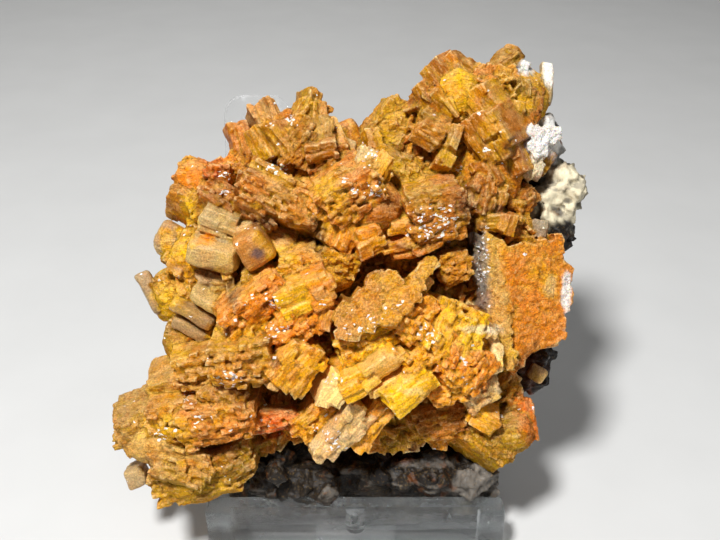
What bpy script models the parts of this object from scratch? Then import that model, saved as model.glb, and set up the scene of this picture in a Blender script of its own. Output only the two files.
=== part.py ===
"""Barite crystals on a piece of rock, leaning in a small clear moulded display stand.

The rock is a broken slab. Its front is covered by one crust of barite: stacks of
thin plates, like leaning books, grown through each other. The stand is one clear
plastic moulding with a low front lip, a base with a window and a leaning back.

Everything is shaped in millimetres, and the finished pieces are turned to metres.
The crystal face has its own axes: x to the right, up along the face, and out
towards the viewer.
"""
import math
import random
from collections import namedtuple

import bmesh
import bpy
from mathutils import Matrix, Vector

MM = 0.001
GAP = 0.3
WELD = 0.001
FLAT_ENOUGH = math.radians(0.2)
SEED = 7
# Longer than anything here, for a cutter with no end.
REACH = 200.0

# How the specimen leans: the middle of its face, and the tilt of the face.
FACE_HEIGHT = 52.8
FACE_TILT = math.radians(31.0)
# The face was measured from this far away, so what stands out looks further from the middle.
VIEW_DISTANCE = 180.0

# The stand, seen from above: the front is at -Y.
STAND_MIDDLE = -0.95
STAND_WIDTH = 60.0
BASE_THICK = 4.0
BASE_FRONT = -24.3
BASE_BACK = 35.0
LIP_THICK = 2.8
LIP_TOP = 12.0
END_BLOCK = (5.4, 4.4)
END_BLOCK_FRONT = -25.9
END_ROUNDING = 0.9
LIP_BUMP = (2.0, 5.0)
ARM_INNER = 16.2
TAB_INNER = 8.4
TAB_BACK = -10.6
WINDOW_FRONT = -20.0
WINDOW_BACK = 27.0
WINDOW_ROUNDING = 2.0
PLATE_FOOT = -10.6
PLATE_SUNK = 1.6
PLATE_TAPER = 1.5
PLATE_LEAN = math.radians(27.0)
PLATE_THICK = 3.0
PLATE_HALF_WIDTH = 27.8
PLATE_LENGTH = 84.5
PLATE_CORNER = 4.0
NOTCH_HALF_WIDTH = 16.5
NOTCH_DEPTH = 15.0
RIB_SIDE = 22.0
RIB_THICK = 2.6
RIB_REACH = 27.0
RIB_HEIGHT = 44.0
# Parts of the stand go into each other a little, so that no two faces share a plane.
BITE = 0.4
OFFSET = 0.02

# The crust meets the rock on this level of the face, counted outwards.
ROCK_FRONT = -8.0
ROCK_DEPTH = 9.0
CRUST_CORE_OUT = 1.0
BOOK_BACK = -4.0
# Crystal plates: the share with six sides, how much narrower their fronts are, how
# much they are skewed, how much neighbours overlap, and how unevenly they end.
SIX_SIDED = 0.35
HEXAGON_RADIUS = 0.56
NARROWER = (0.86, 0.98)
SKEW = 0.18
OVERLAP = 1.12
SHIFT_ALONG = 0.09
LENGTHS = (0.84, 1.0)
SUNK = 0.9
# Lumps of rock have few facets and lobes of crystals more, each with its own unevenness.
ANGULAR = 1
ROUNDED = 2
UNEVEN = {ANGULAR: (0.86, 1.2), ROUNDED: (0.9, 1.08)}

# Outlines on the face, x and up, clockwise from the lower left.
CRUST_OUTLINE = [
    (-39, -34), (-35, -26), (-33, -20), (-34, -12), (-37, -4), (-36, 4), (-32, 9),
    (-34, 16), (-29, 20), (-22, 24), (-17, 30), (-9, 31), (-1, 25), (6, 30), (14, 37),
    (21, 37), (29, 40), (32, 37), (31, 28), (31, 18), (34, 8), (36, -4), (34, -12),
    (30, -20), (31, -31), (22, -33), (6, -35), (-10, -32), (-20, -35), (-25, -42),
    (-36, -43),
]
ROCK_OUTLINE = [
    (-29, -36), (-32, -22), (-34, -6), (-31, 8), (-30, 16), (-22, 22), (-12, 27),
    (2, 23), (12, 32), (24, 37), (33, 38), (36, 30), (40, 22), (41, 8), (38, -2),
    (36, -12), (33, -24), (31, -33), (25, -42), (23, -54), (-23, -54), (-26, -45),
]

# Lumps of the rock that stand out of it: x, up, out, half sizes along the same axes.
Lump = namedtuple("Lump", "x up out half_x half_up half_out")
ROCK_LUMPS = [
    Lump(-17, -40, -7, 6.5, 6.5, 8.0),
    Lump(-8, -42, -7, 8.0, 5.0, 6.0),
    Lump(3, -41, -7, 7.5, 5.5, 7.0),
    Lump(13, -40, -7, 8.0, 5.0, 8.0),
    Lump(21, -42, -7, 6.5, 5.0, 6.0),
    Lump(36.5, 26, -8, 4.6, 5.4, 5.5),
    Lump(35, 20, -8, 4.6, 4.0, 4.5),
    Lump(40, 16.5, -9, 4.4, 5.0, 6.5),
    Lump(37, 11.5, -8, 5.6, 4.6, 5.0),
    Lump(38.5, 7.0, -8, 3.8, 3.2, 5.0),
    Lump(-9, 6.5, -8, 3.6, 3.8, 9.0),
    Lump(-25, -5, -8, 3.0, 5.0, 8.0),
    Lump(33.5, -18, -8, 4.4, 5.4, 5.5),
]

# A book is a stack of crystal plates: the middle of its front on the face, how far out
# the front is, the direction its plates run (degrees from x), its length along them, its
# thickness across them, the number of main plates, how far the stack leans towards
# the viewer, and how far its run dips away.
Book = namedtuple("Book", "x up front run length stack plates lean dip")
BOOKS = [
    # Upper left crown
    Book(-8.6, 28.5, 6, 74, 14, 5.5, 2, 10, 8),
    Book(-4.8, 27.0, 5, 108, 13, 4.5, 3, -12, 6),
    Book(-10.5, 25.5, 7, 60, 10, 5.0, 2, 20, 0),
    Book(-17.2, 29.8, 3, 118, 10.5, 6.5, 3, 14, 5),
    Book(-15.0, 27.0, 6, 130, 9, 5.0, 2, 20, 0),
    Book(-22.6, 25.6, 2, 104, 8.5, 5.5, 2, 10, 0),
    Book(-20.5, 23.0, 5, 120, 8, 4.0, 2, 25, 0),
    Book(-31.5, 19.5, 4, 158, 12, 7.0, 3, 18, 4),
    Book(-33.0, 15.8, 5, 152, 10, 6.0, 3, 24, 0),
    Book(-27.5, 15.5, 7, 150, 8, 5.0, 2, 30, 0),
    Book(-17.0, 18.6, 11, 152, 13, 4.5, 3, 22, 0),
    Book(-16.0, 14.6, 12, 150, 16, 6.5, 4, 16, 0),
    Book(-19.8, 12.0, 10, 146, 7, 4.5, 2, 12, 0),
    Book(-12.4, 10.0, 9, 10, 5, 4.5, 1, 10, 15),
    Book(-2.2, 26.5, 1, 112, 10, 4.5, 2, 0, 0),
    Book(-6.0, 20.5, 6, 20, 9, 4.0, 2, 20, 0),
    # Left side, pale blocks and long blades
    Book(-31.5, 12.0, 6, 35, 6, 4.0, 2, 10, 0),
    Book(-29.3, 8.2, 9, 160, 8, 6.0, 2, 24, 0),
    Book(-23.5, 7.8, 8, 15, 7, 2.4, 1, 20, 0),
    Book(-31.5, 2.4, 8, 170, 9.5, 5.0, 2, 26, 0),
    Book(-37.5, 0.8, 4, 42, 4.5, 3.4, 1, 15, 0),
    Book(-38.2, 5.8, 0, 62, 7, 4.5, 2, 10, 5),
    Book(-21.5, 3.2, 12, 30, 6.2, 6.0, 1, 15, 0),
    Book(-15.5, 6.0, 5, 165, 9, 5.0, 2, 30, 0),
    Book(-41.0, -5.5, 0, 118, 12.5, 3.6, 2, 10, 0),
    Book(-37.0, -3.0, 1, 122, 8, 4.0, 2, 20, 0),
    Book(-30.5, -4.0, 5, 152, 9, 4.5, 3, 25, 0),
    Book(-33.8, -9.0, 4, 152, 12, 3.8, 3, 20, 0),
    Book(-35.5, -13.2, 1, 138, 10, 3.6, 2, 22, 0),
    Book(-34.5, -17.0, 0, 132, 9, 4.0, 2, 20, 0),
    # Left of the middle, the large orange fan
    Book(-9.0, 0.2, 7, 165, 14, 7.0, 2, 35, 0),
    Book(-21.5, -3.0, 9, 20, 8, 5.0, 2, 20, 0),
    Book(-21.0, -8.6, 15, 36, 15, 7.5, 3, 22, 0),
    Book(-22.0, -13.4, 13, 40, 12, 5.0, 2, 10, 0),
    Book(-10.6, -6.2, 17, 24, 10, 4.8, 2, 26, 0),
    Book(-12.6, -12.0, 15, 38, 12, 7.0, 3, 18, 0),
    Book(-12.0, -20.5, 15, 30, 8.5, 8.0, 3, 22, 0),
    # Lower left lobes
    Book(-24.2, -20.2, 16, 2, 13.5, 8.0, 3, 18, 0),
    Book(-33.0, -21.6, 12, 8, 10, 7.5, 3, 16, 0),
    Book(-27.5, -25.6, 13, 150, 9, 5.0, 2, 14, 0),
    Book(-39.4, -24.4, 6, 14, 7.5, 4.0, 2, 20, 0),
    Book(-44.0, -33.4, 9, 22, 8.5, 7.5, 2, 18, 8),
    Book(-47.4, -34.0, 7, 12, 5.0, 3.0, 1, 10, 0),
    Book(-38.5, -32.0, 12, 8, 10, 7.5, 3, 20, 0),
    Book(-28.5, -32.6, 14, 8, 15, 8.0, 4, 18, 0),
    Book(-17.8, -31.0, 9, 4, 9, 4.2, 2, 10, 0),
    Book(-36.0, -38.6, 12, 164, 12, 6.5, 3, 24, 0),
    Book(-33.0, -43.6, 9, 6, 17, 7.0, 3, 12, 0),
    Book(-25.6, -40.0, 9, 30, 8, 6.0, 2, 12, 0),
    Book(-45.0, -41.8, 2, 20, 4.6, 4.0, 1, 10, 0),
    # Middle
    Book(-1.0, 13.6, 15, 34, 13, 8.0, 3, 28, 0),
    Book(-5.6, 13.4, 12, 42, 10, 4.5, 2, 18, 0),
    Book(0.4, 18.6, 11, 20, 10, 5.0, 2, 20, 0),
    Book(1.6, 22.6, 10, 64, 5.0, 2.6, 1, 10, 20),
    Book(5.0, 21.4, 11, 60, 4.8, 3.2, 1, 10, 20),
    Book(-4.0, 6.9, 11, 62, 5.0, 8.0, 4, 5, 0),
    Book(3.2, 4.7, 12, 22, 5.6, 5.6, 1, 18, 10),
    Book(16.0, 9.3, 15, 14, 11, 10.0, 3, 20, 0),
    Book(9.3, 7.5, 11, 12, 6.5, 3.4, 1, 20, 0),
    Book(10.4, 2.6, 11, 14, 9, 3.6, 2, 22, 0),
    Book(1.0, -5.8, 16, 44, 13, 6.5, 2, 32, 0),
    Book(10.4, -2.6, 17, 47, 16, 3.8, 2, 28, 0),
    Book(19.4, 0.2, 10, 30, 7, 6.5, 2, 10, 0),
    # Lower middle, the largest stack
    Book(19.4, -14.6, 18, 32, 17, 11.0, 4, 26, 0),
    Book(23.6, -19.6, 16, 30, 12, 8.0, 3, 18, 0),
    Book(3.4, -16.4, 15, 28, 15, 7.0, 4, 20, 0),
    Book(5.0, -21.4, 17, 24, 8.5, 3.4, 1, 22, 0),
    Book(11.8, -25.2, 17, 34, 9.5, 5.0, 2, 24, 10),
    Book(-0.6, -23.4, 16, 30, 4.6, 4.8, 1, 10, 10),
    Book(-5.6, -25.0, 15, 58, 7.0, 4.8, 1, 12, 0),
    Book(23.6, -25.4, 12, 12, 11, 4.0, 2, 14, 0),
    Book(-8.4, -31.4, 11, 40, 9, 6.5, 2, 14, 0),
    Book(-2.6, -33.6, 13, 40, 13, 5.0, 3, 20, 0),
    Book(2.6, -32.2, 10, 44, 11, 5.5, 3, 10, 0),
    Book(14.5, -31.6, 6, 10, 17, 6.5, 2, 16, 0),
    Book(24.6, -30.4, 9, 20, 5.0, 4.8, 1, 12, 0),
    Book(28.4, -32.4, 6, 150, 11, 9.5, 3, 20, 0),
    Book(33.4, -30.0, 4, 104, 9.5, 4.6, 2, 10, 0),
    Book(35.6, -20.8, -2, 60, 3.4, 3.0, 1, 10, 0),
    Book(37.6, -13.8, -2, 20, 3.6, 2.8, 1, 10, 0),
    # Upper right lobe
    Book(5.6, 29.0, 2, 60, 11, 7.5, 3, 18, 0),
    Book(3.2, 26.4, 4, 100, 5, 3.6, 1, 10, 0),
    Book(9.0, 22.0, 4, 150, 10, 8.0, 2, 25, 0),
    Book(12.0, 16.6, 4, 170, 13, 8.0, 2, 20, 0),
    Book(17.2, 39.0, 0, 58, 9, 7.0, 2, 22, 0),
    Book(13.4, 36.6, 1, 56, 8, 5.0, 2, 18, 0),
    Book(21.4, 38.4, -1, 60, 7, 4.0, 1, 10, 0),
    Book(12.4, 31.0, 5, 64, 8, 6.0, 3, 10, 0),
    Book(13.2, 26.0, 8, 154, 6.5, 4.5, 3, 20, 0),
    Book(18.0, 32.0, 4, 130, 9, 6.0, 2, 24, 0),
    Book(24.2, 38.6, 0, 50, 6, 4.5, 1, 20, 0),
    Book(30.5, 39.4, 0, 52, 11, 8.5, 3, 24, 0),
    Book(36.6, 38.0, -3, 88, 11, 4.5, 2, 10, 0),
    Book(29.6, 32.6, 3, 54, 10, 8.0, 2, 22, 0),
    Book(23.6, 26.4, 9, 20, 10.5, 7.0, 3, 34, 0),
    Book(29.0, 24.4, 8, 58, 12, 7.0, 3, 22, 0),
    Book(25.6, 18.4, 9, 8, 13, 8.0, 2, 20, 0),
    Book(18.0, 23.0, 7, 100, 4.4, 3.2, 1, 10, 10),
    Book(35.6, 17.0, 0, 40, 7, 4.5, 2, 20, 0),
    Book(25.9, 8.8, 6, 2, 6.4, 3.8, 1, 18, 0),
    Book(30.6, 9.8, 7, 70, 4.0, 3.8, 1, 10, 0),
]

# A sheet lies flat in the face: the same values, with its width and thickness.
Sheet = namedtuple("Sheet", "x up front run length width thick lean dip")
SHEETS = [
    Sheet(34.8, -4.0, 7.0, 84, 19, 13.0, 11.0, 4, 4),
    Sheet(27.4, -4.0, 7.5, 84, 24, 6.0, 9.0, -24, 4),
    Sheet(30.5, -14.0, 6.0, 70, 12, 7.0, 8.0, -10, -14),
    Sheet(40.0, -4.5, 4.0, 84, 11, 3.2, 8.0, 10, 0),
]

# Rounded lobes, listed as the rock's lumps are.
LOBES = [
    Lump(-32.5, 17.5, -1, 5.0, 5.2, 6.0),
    Lump(-38.0, 5.5, -4, 3.4, 3.6, 4.5),
    Lump(-40.0, -33.5, 3, 8.0, 5.5, 7.0),
    Lump(-33.0, -41.0, 2, 8.0, 6.0, 7.0),
    Lump(26.0, 20.0, 1, 8.0, 10.5, 8.0),
    Lump(6.5, 27.5, -3, 5.0, 6.5, 5.5),
    Lump(31.0, 34.0, -5, 7.0, 8.0, 6.0),
    Lump(29.5, -32.0, 0, 5.5, 5.0, 6.5),
    Lump(-21.5, -12.0, 4, 7.0, 6.0, 8.0),
    Lump(16.0, -14.0, 5, 13.0, 9.0, 9.0),
    Lump(2.0, 12.0, 4, 8.0, 7.0, 8.0),
]

# What each piece is made of: colour, roughness, metallic.
BARITE = ("barite", (0.62, 0.31, 0.08), 0.55, 0.0)
ROCK = ("rock", (0.11, 0.10, 0.09), 0.85, 0.0)
CLEAR_PLASTIC = ("clear_plastic", (0.93, 0.95, 0.96), 0.08, 0.0)

FACE_UP = Vector((0.0, math.sin(FACE_TILT), math.cos(FACE_TILT)))
FACE_OUT = Vector((0.0, -math.cos(FACE_TILT), math.sin(FACE_TILT)))
FACE_AXES = Matrix((Vector((1, 0, 0)), FACE_UP, FACE_OUT)).transposed().to_4x4()
FACE_FRAME = Matrix.Translation((0, 0, FACE_HEIGHT)) @ FACE_AXES


def clear_scene():
    for old in list(bpy.data.objects):
        bpy.data.objects.remove(old, do_unlink=True)


def collection(name):
    made = bpy.data.collections.new(name)
    bpy.context.scene.collection.children.link(made)
    return made


def material(name, colour, roughness, metallic):
    made = bpy.data.materials.new(name)
    made.use_nodes = True
    shader = made.node_tree.nodes["Principled BSDF"]
    shader.inputs["Base Color"].default_value = (*colour, 1.0)
    shader.inputs["Roughness"].default_value = roughness
    shader.inputs["Metallic"].default_value = metallic
    return made


def add_object(name, mesh, home, matrix=None):
    """Put a mesh into a collection, still in millimetres."""
    mesh.transform(matrix or Matrix.Identity(4))
    made = bpy.data.objects.new(name, mesh)
    home.objects.link(made)
    return made


def mesh_of(bm, name):
    bmesh.ops.recalc_face_normals(bm, faces=bm.faces)
    mesh = bpy.data.meshes.new(name)
    bm.to_mesh(mesh)
    bm.free()
    return mesh


def box(name, low, high, home, matrix=None):
    bm = bmesh.new()
    size = [b - a for a, b in zip(low, high)]
    middle = [(a + b) / 2 for a, b in zip(low, high)]
    place = Matrix.Translation(middle) @ Matrix.Diagonal((*size, 1.0))
    bmesh.ops.create_cube(bm, size=1.0, matrix=place)
    return add_object(name, mesh_of(bm, name), home, matrix)


def slab(name, outlines, low, high, home, matrix=None):
    """A flat outline, with any holes after it, as thick as from low to high."""
    curve = bpy.data.curves.new(name, "CURVE")
    curve.dimensions = "2D"
    curve.fill_mode = "BOTH"
    curve.extrude = (high - low) / 2
    for outline in outlines:
        spline = curve.splines.new("POLY")
        spline.points.add(len(outline) - 1)
        for point, (x, y) in zip(spline.points, outline):
            point.co = (x, y, 0, 1)
        spline.use_cyclic_u = True
    guide = bpy.data.objects.new(name, curve)
    bpy.context.scene.collection.objects.link(guide)
    evaluated = guide.evaluated_get(bpy.context.evaluated_depsgraph_get())
    bm = bmesh.new()
    bm.from_mesh(bpy.data.meshes.new_from_object(evaluated))
    bmesh.ops.remove_doubles(bm, verts=bm.verts, dist=0.0001)
    bpy.data.objects.remove(guide, do_unlink=True)
    lift = Matrix.Translation((0, 0, (low + high) / 2))
    return add_object(name, mesh_of(bm, name), home, (matrix or Matrix.Identity(4)) @ lift)


def apply_boolean(target, operation):
    """Apply the target's one Boolean. Triangles keep the next one exact."""
    step = target.modifiers["boolean"]
    step.operation = operation
    step.solver = "EXACT"
    evaluated = target.evaluated_get(bpy.context.evaluated_depsgraph_get())
    bm = bmesh.new()
    bm.from_mesh(evaluated.to_mesh())
    bmesh.ops.remove_doubles(bm, verts=bm.verts, dist=WELD)
    bmesh.ops.dissolve_degenerate(bm, edges=bm.edges, dist=WELD)
    bmesh.ops.triangulate(bm, faces=bm.faces)
    target.modifiers.clear()
    bm.to_mesh(target.data)
    bm.free()


def unite(target, operands):
    """Join the target with every object of a collection in one solid."""
    step = target.modifiers.new("boolean", "BOOLEAN")
    step.operand_type = "COLLECTION"
    step.collection = operands
    apply_boolean(target, "UNION")
    remove_guides(operands)


def cut(target, cutter):
    """Cut one closed solid out of the target."""
    step = target.modifiers.new("boolean", "BOOLEAN")
    step.object = cutter
    apply_boolean(target, "DIFFERENCE")


def remove_guides(home):
    """Remove a collection of shapes that have been joined or cut in."""
    for guide in list(home.objects):
        bpy.data.objects.remove(guide, do_unlink=True)
    bpy.data.collections.remove(home)


def keep_main_body(target):
    """Drop the crumbs that a cut leaves, so that one body is left."""
    bm = bmesh.new()
    bm.from_mesh(target.data)
    bodies = []
    left = set(bm.verts)
    while left:
        body = {left.pop()}
        open_ends = list(body)
        while open_ends:
            vert = open_ends.pop()
            found = {edge.other_vert(vert) for edge in vert.link_edges} & left
            left -= found
            body |= found
            open_ends += found
        bodies.append(body)
    bodies.sort(key=len, reverse=True)
    crumbs = [vert for body in bodies[1:] for vert in body]
    bmesh.ops.delete(bm, geom=crumbs, context="VERTS")
    bmesh.ops.dissolve_limit(bm, angle_limit=FLAT_ENOUGH, verts=bm.verts, edges=bm.edges)
    bmesh.ops.triangulate(bm, faces=bm.faces)
    bm.to_mesh(target.data)
    bm.free()


def seen_at(x, up, out):
    """Where on the face a point is that was measured from VIEW_DISTANCE away."""
    nearer = 1.0 - out / VIEW_DISTANCE
    return Vector((x * nearer, up * nearer, out))


def stack_axes(run, lean, dip):
    """Axes along the run of a stack, across its plates, and out of it."""
    turn = Matrix.Rotation(math.radians(run), 4, "Z")
    tip = Matrix.Rotation(math.radians(dip), 4, "Y")
    roll = Matrix.Rotation(math.radians(lean), 4, "X")
    return turn @ roll @ tip


def plate(name, size, home, matrix, chance):
    """One flat crystal, four-sided or six-sided, a little skewed and narrower in front."""
    narrower = chance.uniform(*NARROWER)
    bm = bmesh.new()
    if chance.random() < SIX_SIDED:
        sides, radius, turn = 6, HEXAGON_RADIUS, 30
    else:
        sides, radius, turn = 4, math.sqrt(0.5), 45
    bmesh.ops.create_cone(bm, cap_ends=True, segments=sides, radius1=radius,
                          radius2=radius * narrower, depth=1.0,
                          matrix=Matrix.Rotation(math.radians(turn), 4, "Z"))
    skew = Matrix.Identity(4)
    skew[0][1] = chance.uniform(-SKEW, SKEW)
    bm.transform(Matrix.Diagonal((*size, 1.0)) @ skew)
    return add_object(name, mesh_of(bm, name), home, matrix)


def add_book(number, book, home, chance):
    """The main plates of one book, each a little shifted along its neighbours."""
    depth = (book.front - BOOK_BACK) / math.cos(math.radians(book.lean))
    axes = stack_axes(book.run, book.lean, book.dip)
    place = Matrix.Translation(seen_at(book.x, book.up, book.front)) @ axes
    thick = book.stack / book.plates
    for step in range(book.plates):
        across = (step + 0.5) * thick - book.stack / 2
        along = chance.uniform(-SHIFT_ALONG, SHIFT_ALONG) * book.length
        sunk = chance.uniform(0.0, SUNK)
        middle = Matrix.Translation((along, across, -depth / 2 - sunk))
        size = (book.length * chance.uniform(*LENGTHS), thick * OVERLAP, depth)
        plate(f"book_{number}_{step}", size, home, FACE_FRAME @ place @ middle, chance)


def add_sheet(number, sheet, home, chance):
    axes = stack_axes(sheet.run, sheet.lean, sheet.dip)
    place = Matrix.Translation(seen_at(sheet.x, sheet.up, sheet.front)) @ axes
    middle = Matrix.Translation((0, 0, -sheet.thick / 2))
    size = (sheet.length, sheet.width, sheet.thick)
    plate(f"sheet_{number}", size, home, FACE_FRAME @ place @ middle, chance)


def add_lump(name, lump, home, chance, detail, grow=0.0):
    """A lump with flat facets. The same chance gives the same lump, grown or not."""
    bm = bmesh.new()
    bmesh.ops.create_icosphere(bm, subdivisions=detail, radius=1.0)
    half = Vector((lump.half_x, lump.half_up, lump.half_out))
    for vert in bm.verts:
        uneven = chance.uniform(*UNEVEN[detail])
        vert.co = Vector([c * (h * uneven + grow) for c, h in zip(vert.co, half)])
    place = Matrix.Translation(seen_at(lump.x, lump.up, lump.out))
    return add_object(name, mesh_of(bm, name), home, FACE_FRAME @ place)


def stand_walls():
    """The front plane of the leaning back, as axes: its middle foot, side, up and out."""
    side = Vector((1, 0, 0))
    up = Vector((0, math.sin(PLATE_LEAN), math.cos(PLATE_LEAN)))
    out = Vector((0, -math.cos(PLATE_LEAN), math.sin(PLATE_LEAN)))
    axes = Matrix((side, up, out)).transposed().to_4x4()
    return Matrix.Translation((STAND_MIDDLE, PLATE_FOOT, BASE_THICK)) @ axes


def rounded_corner(x, y, radius, first, last, steps=4):
    """Points of a corner's arc about its middle, from one angle to another, in degrees."""
    turns = [math.radians(first + (last - first) * i / steps) for i in range(steps + 1)]
    return [(x + radius * math.cos(t), y + radius * math.sin(t)) for t in turns]


def back_plate(home):
    """The leaning back: two ears with round corners and a V-shaped notch between them."""
    wide = PLATE_HALF_WIDTH
    top = PLATE_LENGTH
    turn = PLATE_CORNER
    right_ear = rounded_corner(wide - turn, top - turn, turn, 0, 90)
    left_ear = rounded_corner(turn - wide, top - turn, turn, 90, 180)
    notch = [(NOTCH_HALF_WIDTH, top), (0, top - NOTCH_DEPTH), (-NOTCH_HALF_WIDTH, top)]
    feet = [(PLATE_TAPER - wide, -PLATE_SUNK), (wide - PLATE_TAPER, -PLATE_SUNK)]
    outline = feet + right_ear + notch + left_ear
    slab("back_plate", [outline], -PLATE_THICK, 0, home, stand_walls())


def rib_plane(side):
    """Axes that stand a flat outline up along Y and Z at one side of the stand."""
    axes = Matrix((Vector((0, 1, 0)), Vector((0, 0, 1)), Vector((1, 0, 0)))).transposed().to_4x4()
    return Matrix.Translation((STAND_MIDDLE + side, 0, 0)) @ axes


def base_outlines():
    """The base seen from above: its outside, and its T-shaped window with two round corners."""
    half = STAND_WIDTH / 2
    turn = WINDOW_ROUNDING
    outside = [(-half, BASE_FRONT), (half, BASE_FRONT), (half, BASE_BACK), (-half, BASE_BACK)]
    window = [
        (-TAB_INNER, WINDOW_FRONT), (TAB_INNER, WINDOW_FRONT),
        *rounded_corner(TAB_INNER + turn, TAB_BACK - turn, turn, 180, 90),
        (ARM_INNER, TAB_BACK), (ARM_INNER, WINDOW_BACK),
        (-ARM_INNER, WINDOW_BACK), (-ARM_INNER, TAB_BACK),
        *rounded_corner(-TAB_INNER - turn, TAB_BACK - turn, turn, 90, 0),
    ]
    return [outside, window]


def lip(home):
    """The bar along the front, a half-round bump on it and a block at each end."""
    half = STAND_WIDTH / 2
    middle = STAND_MIDDLE
    box("lip", (middle - half + BITE, BASE_FRONT + OFFSET, BITE),
        (middle + half - BITE, BASE_FRONT + LIP_THICK, LIP_TOP), home)
    radius, length = LIP_BUMP
    bm = bmesh.new()
    bmesh.ops.create_cone(bm, cap_ends=True, segments=12, radius1=radius, radius2=radius, depth=length)
    place = Matrix.Translation((middle, BASE_FRONT, LIP_TOP - length / 2 - BITE))
    add_object("lip_bump", mesh_of(bm, "lip_bump"), home, place)
    for side in (-1, 1):
        inner = middle + side * (half - END_BLOCK[0])
        outer = middle + side * (half + OFFSET)
        low = (min(inner, outer), END_BLOCK_FRONT, OFFSET)
        high = (max(inner, outer), END_BLOCK_FRONT + END_BLOCK[1], LIP_TOP + OFFSET)
        block = box(f"end_block_{side}", low, high, home)
        rounding = block.modifiers.new("rounding", "BEVEL")
        rounding.width = END_ROUNDING
        rounding.segments = 2


def ribs(home):
    """Two upright triangles that hold the back up from behind."""
    foot = PLATE_FOOT + PLATE_THICK * BITE
    rib = [
        (foot, BASE_THICK - BITE),
        (foot + RIB_HEIGHT * math.tan(PLATE_LEAN), BASE_THICK + RIB_HEIGHT),
        (RIB_REACH, BASE_THICK - BITE),
    ]
    for side in (-1, 1):
        slab(f"rib_{side}", [rib], -RIB_THICK / 2, RIB_THICK / 2, home, rib_plane(side * RIB_SIDE))


def build_stand(home):
    parts = collection("stand_parts")
    shift = Matrix.Translation((STAND_MIDDLE, 0, 0))
    stand = slab("display_stand", base_outlines(), 0, BASE_THICK, home, shift)
    lip(parts)
    ribs(parts)
    back_plate(parts)
    unite(stand, parts)
    return stand


def keep_out_of_stand(home):
    """What the specimen leaves free: the leaning back, the ledge and the lip."""
    wall = stand_walls() @ Matrix.Translation((0, 0, GAP))
    box("behind_the_back", (-REACH, -REACH, -REACH), (REACH, REACH, 0), home, wall)
    box("under_the_ledge", (-REACH, -REACH, -REACH), (REACH, REACH, BASE_THICK + GAP), home)
    half = STAND_WIDTH / 2 + GAP
    low = (STAND_MIDDLE - half, END_BLOCK_FRONT - GAP, 1)
    high = (STAND_MIDDLE + half, END_BLOCK_FRONT + END_BLOCK[1] + GAP, LIP_TOP + GAP)
    box("lip_space", low, high, home)


def add_rock_lumps(rock, grow=0.0):
    """Join the same lumps to the rock, or, grown by a gap, to the space it takes."""
    chance = random.Random(SEED)
    parts = collection("lumps")
    for number, lump in enumerate(ROCK_LUMPS):
        add_lump(f"lump_{number}", lump, parts, chance, ANGULAR, grow)
    unite(rock, parts)


def build_rock(home):
    outline = [tuple(seen_at(x, up, ROCK_FRONT)[:2]) for x, up in ROCK_OUTLINE]
    rock = slab("matrix_rock", [outline], ROCK_FRONT - ROCK_DEPTH, ROCK_FRONT, home, FACE_FRAME)
    add_rock_lumps(rock)
    return rock


def rock_space(home):
    """What the crust leaves to the rock: everything behind its level, and its lumps."""
    level = ROCK_FRONT + GAP
    low = (-REACH, -REACH, level - REACH)
    high = (REACH, REACH, level)
    space = box("rock_space", low, high, home, FACE_FRAME)
    add_rock_lumps(space, GAP)


def build_crust(home, chance):
    """All crystals grown together: a core, lobes, books and sheets in one solid."""
    parts = collection("crust_parts")
    outline = [tuple(seen_at(x, up, 0)[:2]) for x, up in CRUST_OUTLINE]
    crust = slab("barite_crystals", [outline], ROCK_FRONT - 1, CRUST_CORE_OUT, home, FACE_FRAME)
    for number, lobe in enumerate(LOBES):
        add_lump(f"lobe_{number}", lobe, parts, chance, ROUNDED)
    for number, book in enumerate(BOOKS):
        add_book(number, book, parts, chance)
    for number, sheet in enumerate(SHEETS):
        add_sheet(number, sheet, parts, chance)
    unite(crust, parts)
    return crust


def stand_on_origin(pieces):
    """Put the middle of everything's underside at the origin, and turn it to metres."""
    bpy.context.view_layer.update()
    points = [piece.matrix_world @ v.co for piece in pieces for v in piece.data.vertices]
    low = [min(p[i] for p in points) for i in range(3)]
    high = [max(p[i] for p in points) for i in range(3)]
    shift = Vector((-(low[0] + high[0]) / 2, -(low[1] + high[1]) / 2, -low[2]))
    for piece in pieces:
        piece.data.transform(Matrix.Scale(MM, 4) @ Matrix.Translation(shift))


def main():
    clear_scene()
    specimen = collection("barite_on_matrix")
    cutters = collection("cutters")
    chance = random.Random(SEED)

    stand = build_stand(specimen)
    crust = build_crust(specimen, chance)
    rock = build_rock(specimen)

    keep_out_of_stand(cutters)
    for cutter in cutters.objects:
        cut(rock, cutter)
    rock_space(cutters)
    for cutter in cutters.objects:
        cut(crust, cutter)
    remove_guides(cutters)

    for piece, look in ((crust, BARITE), (rock, ROCK), (stand, CLEAR_PLASTIC)):
        piece.data.materials.clear()
        piece.data.materials.append(material(*look))
        keep_main_body(piece)
    stand_on_origin([crust, rock, stand])


main()
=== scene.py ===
import math
import random
from collections import namedtuple

import bmesh
import bpy
import numpy as np
from mathutils import Matrix, Vector
from mathutils.bvhtree import BVHTree


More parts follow.
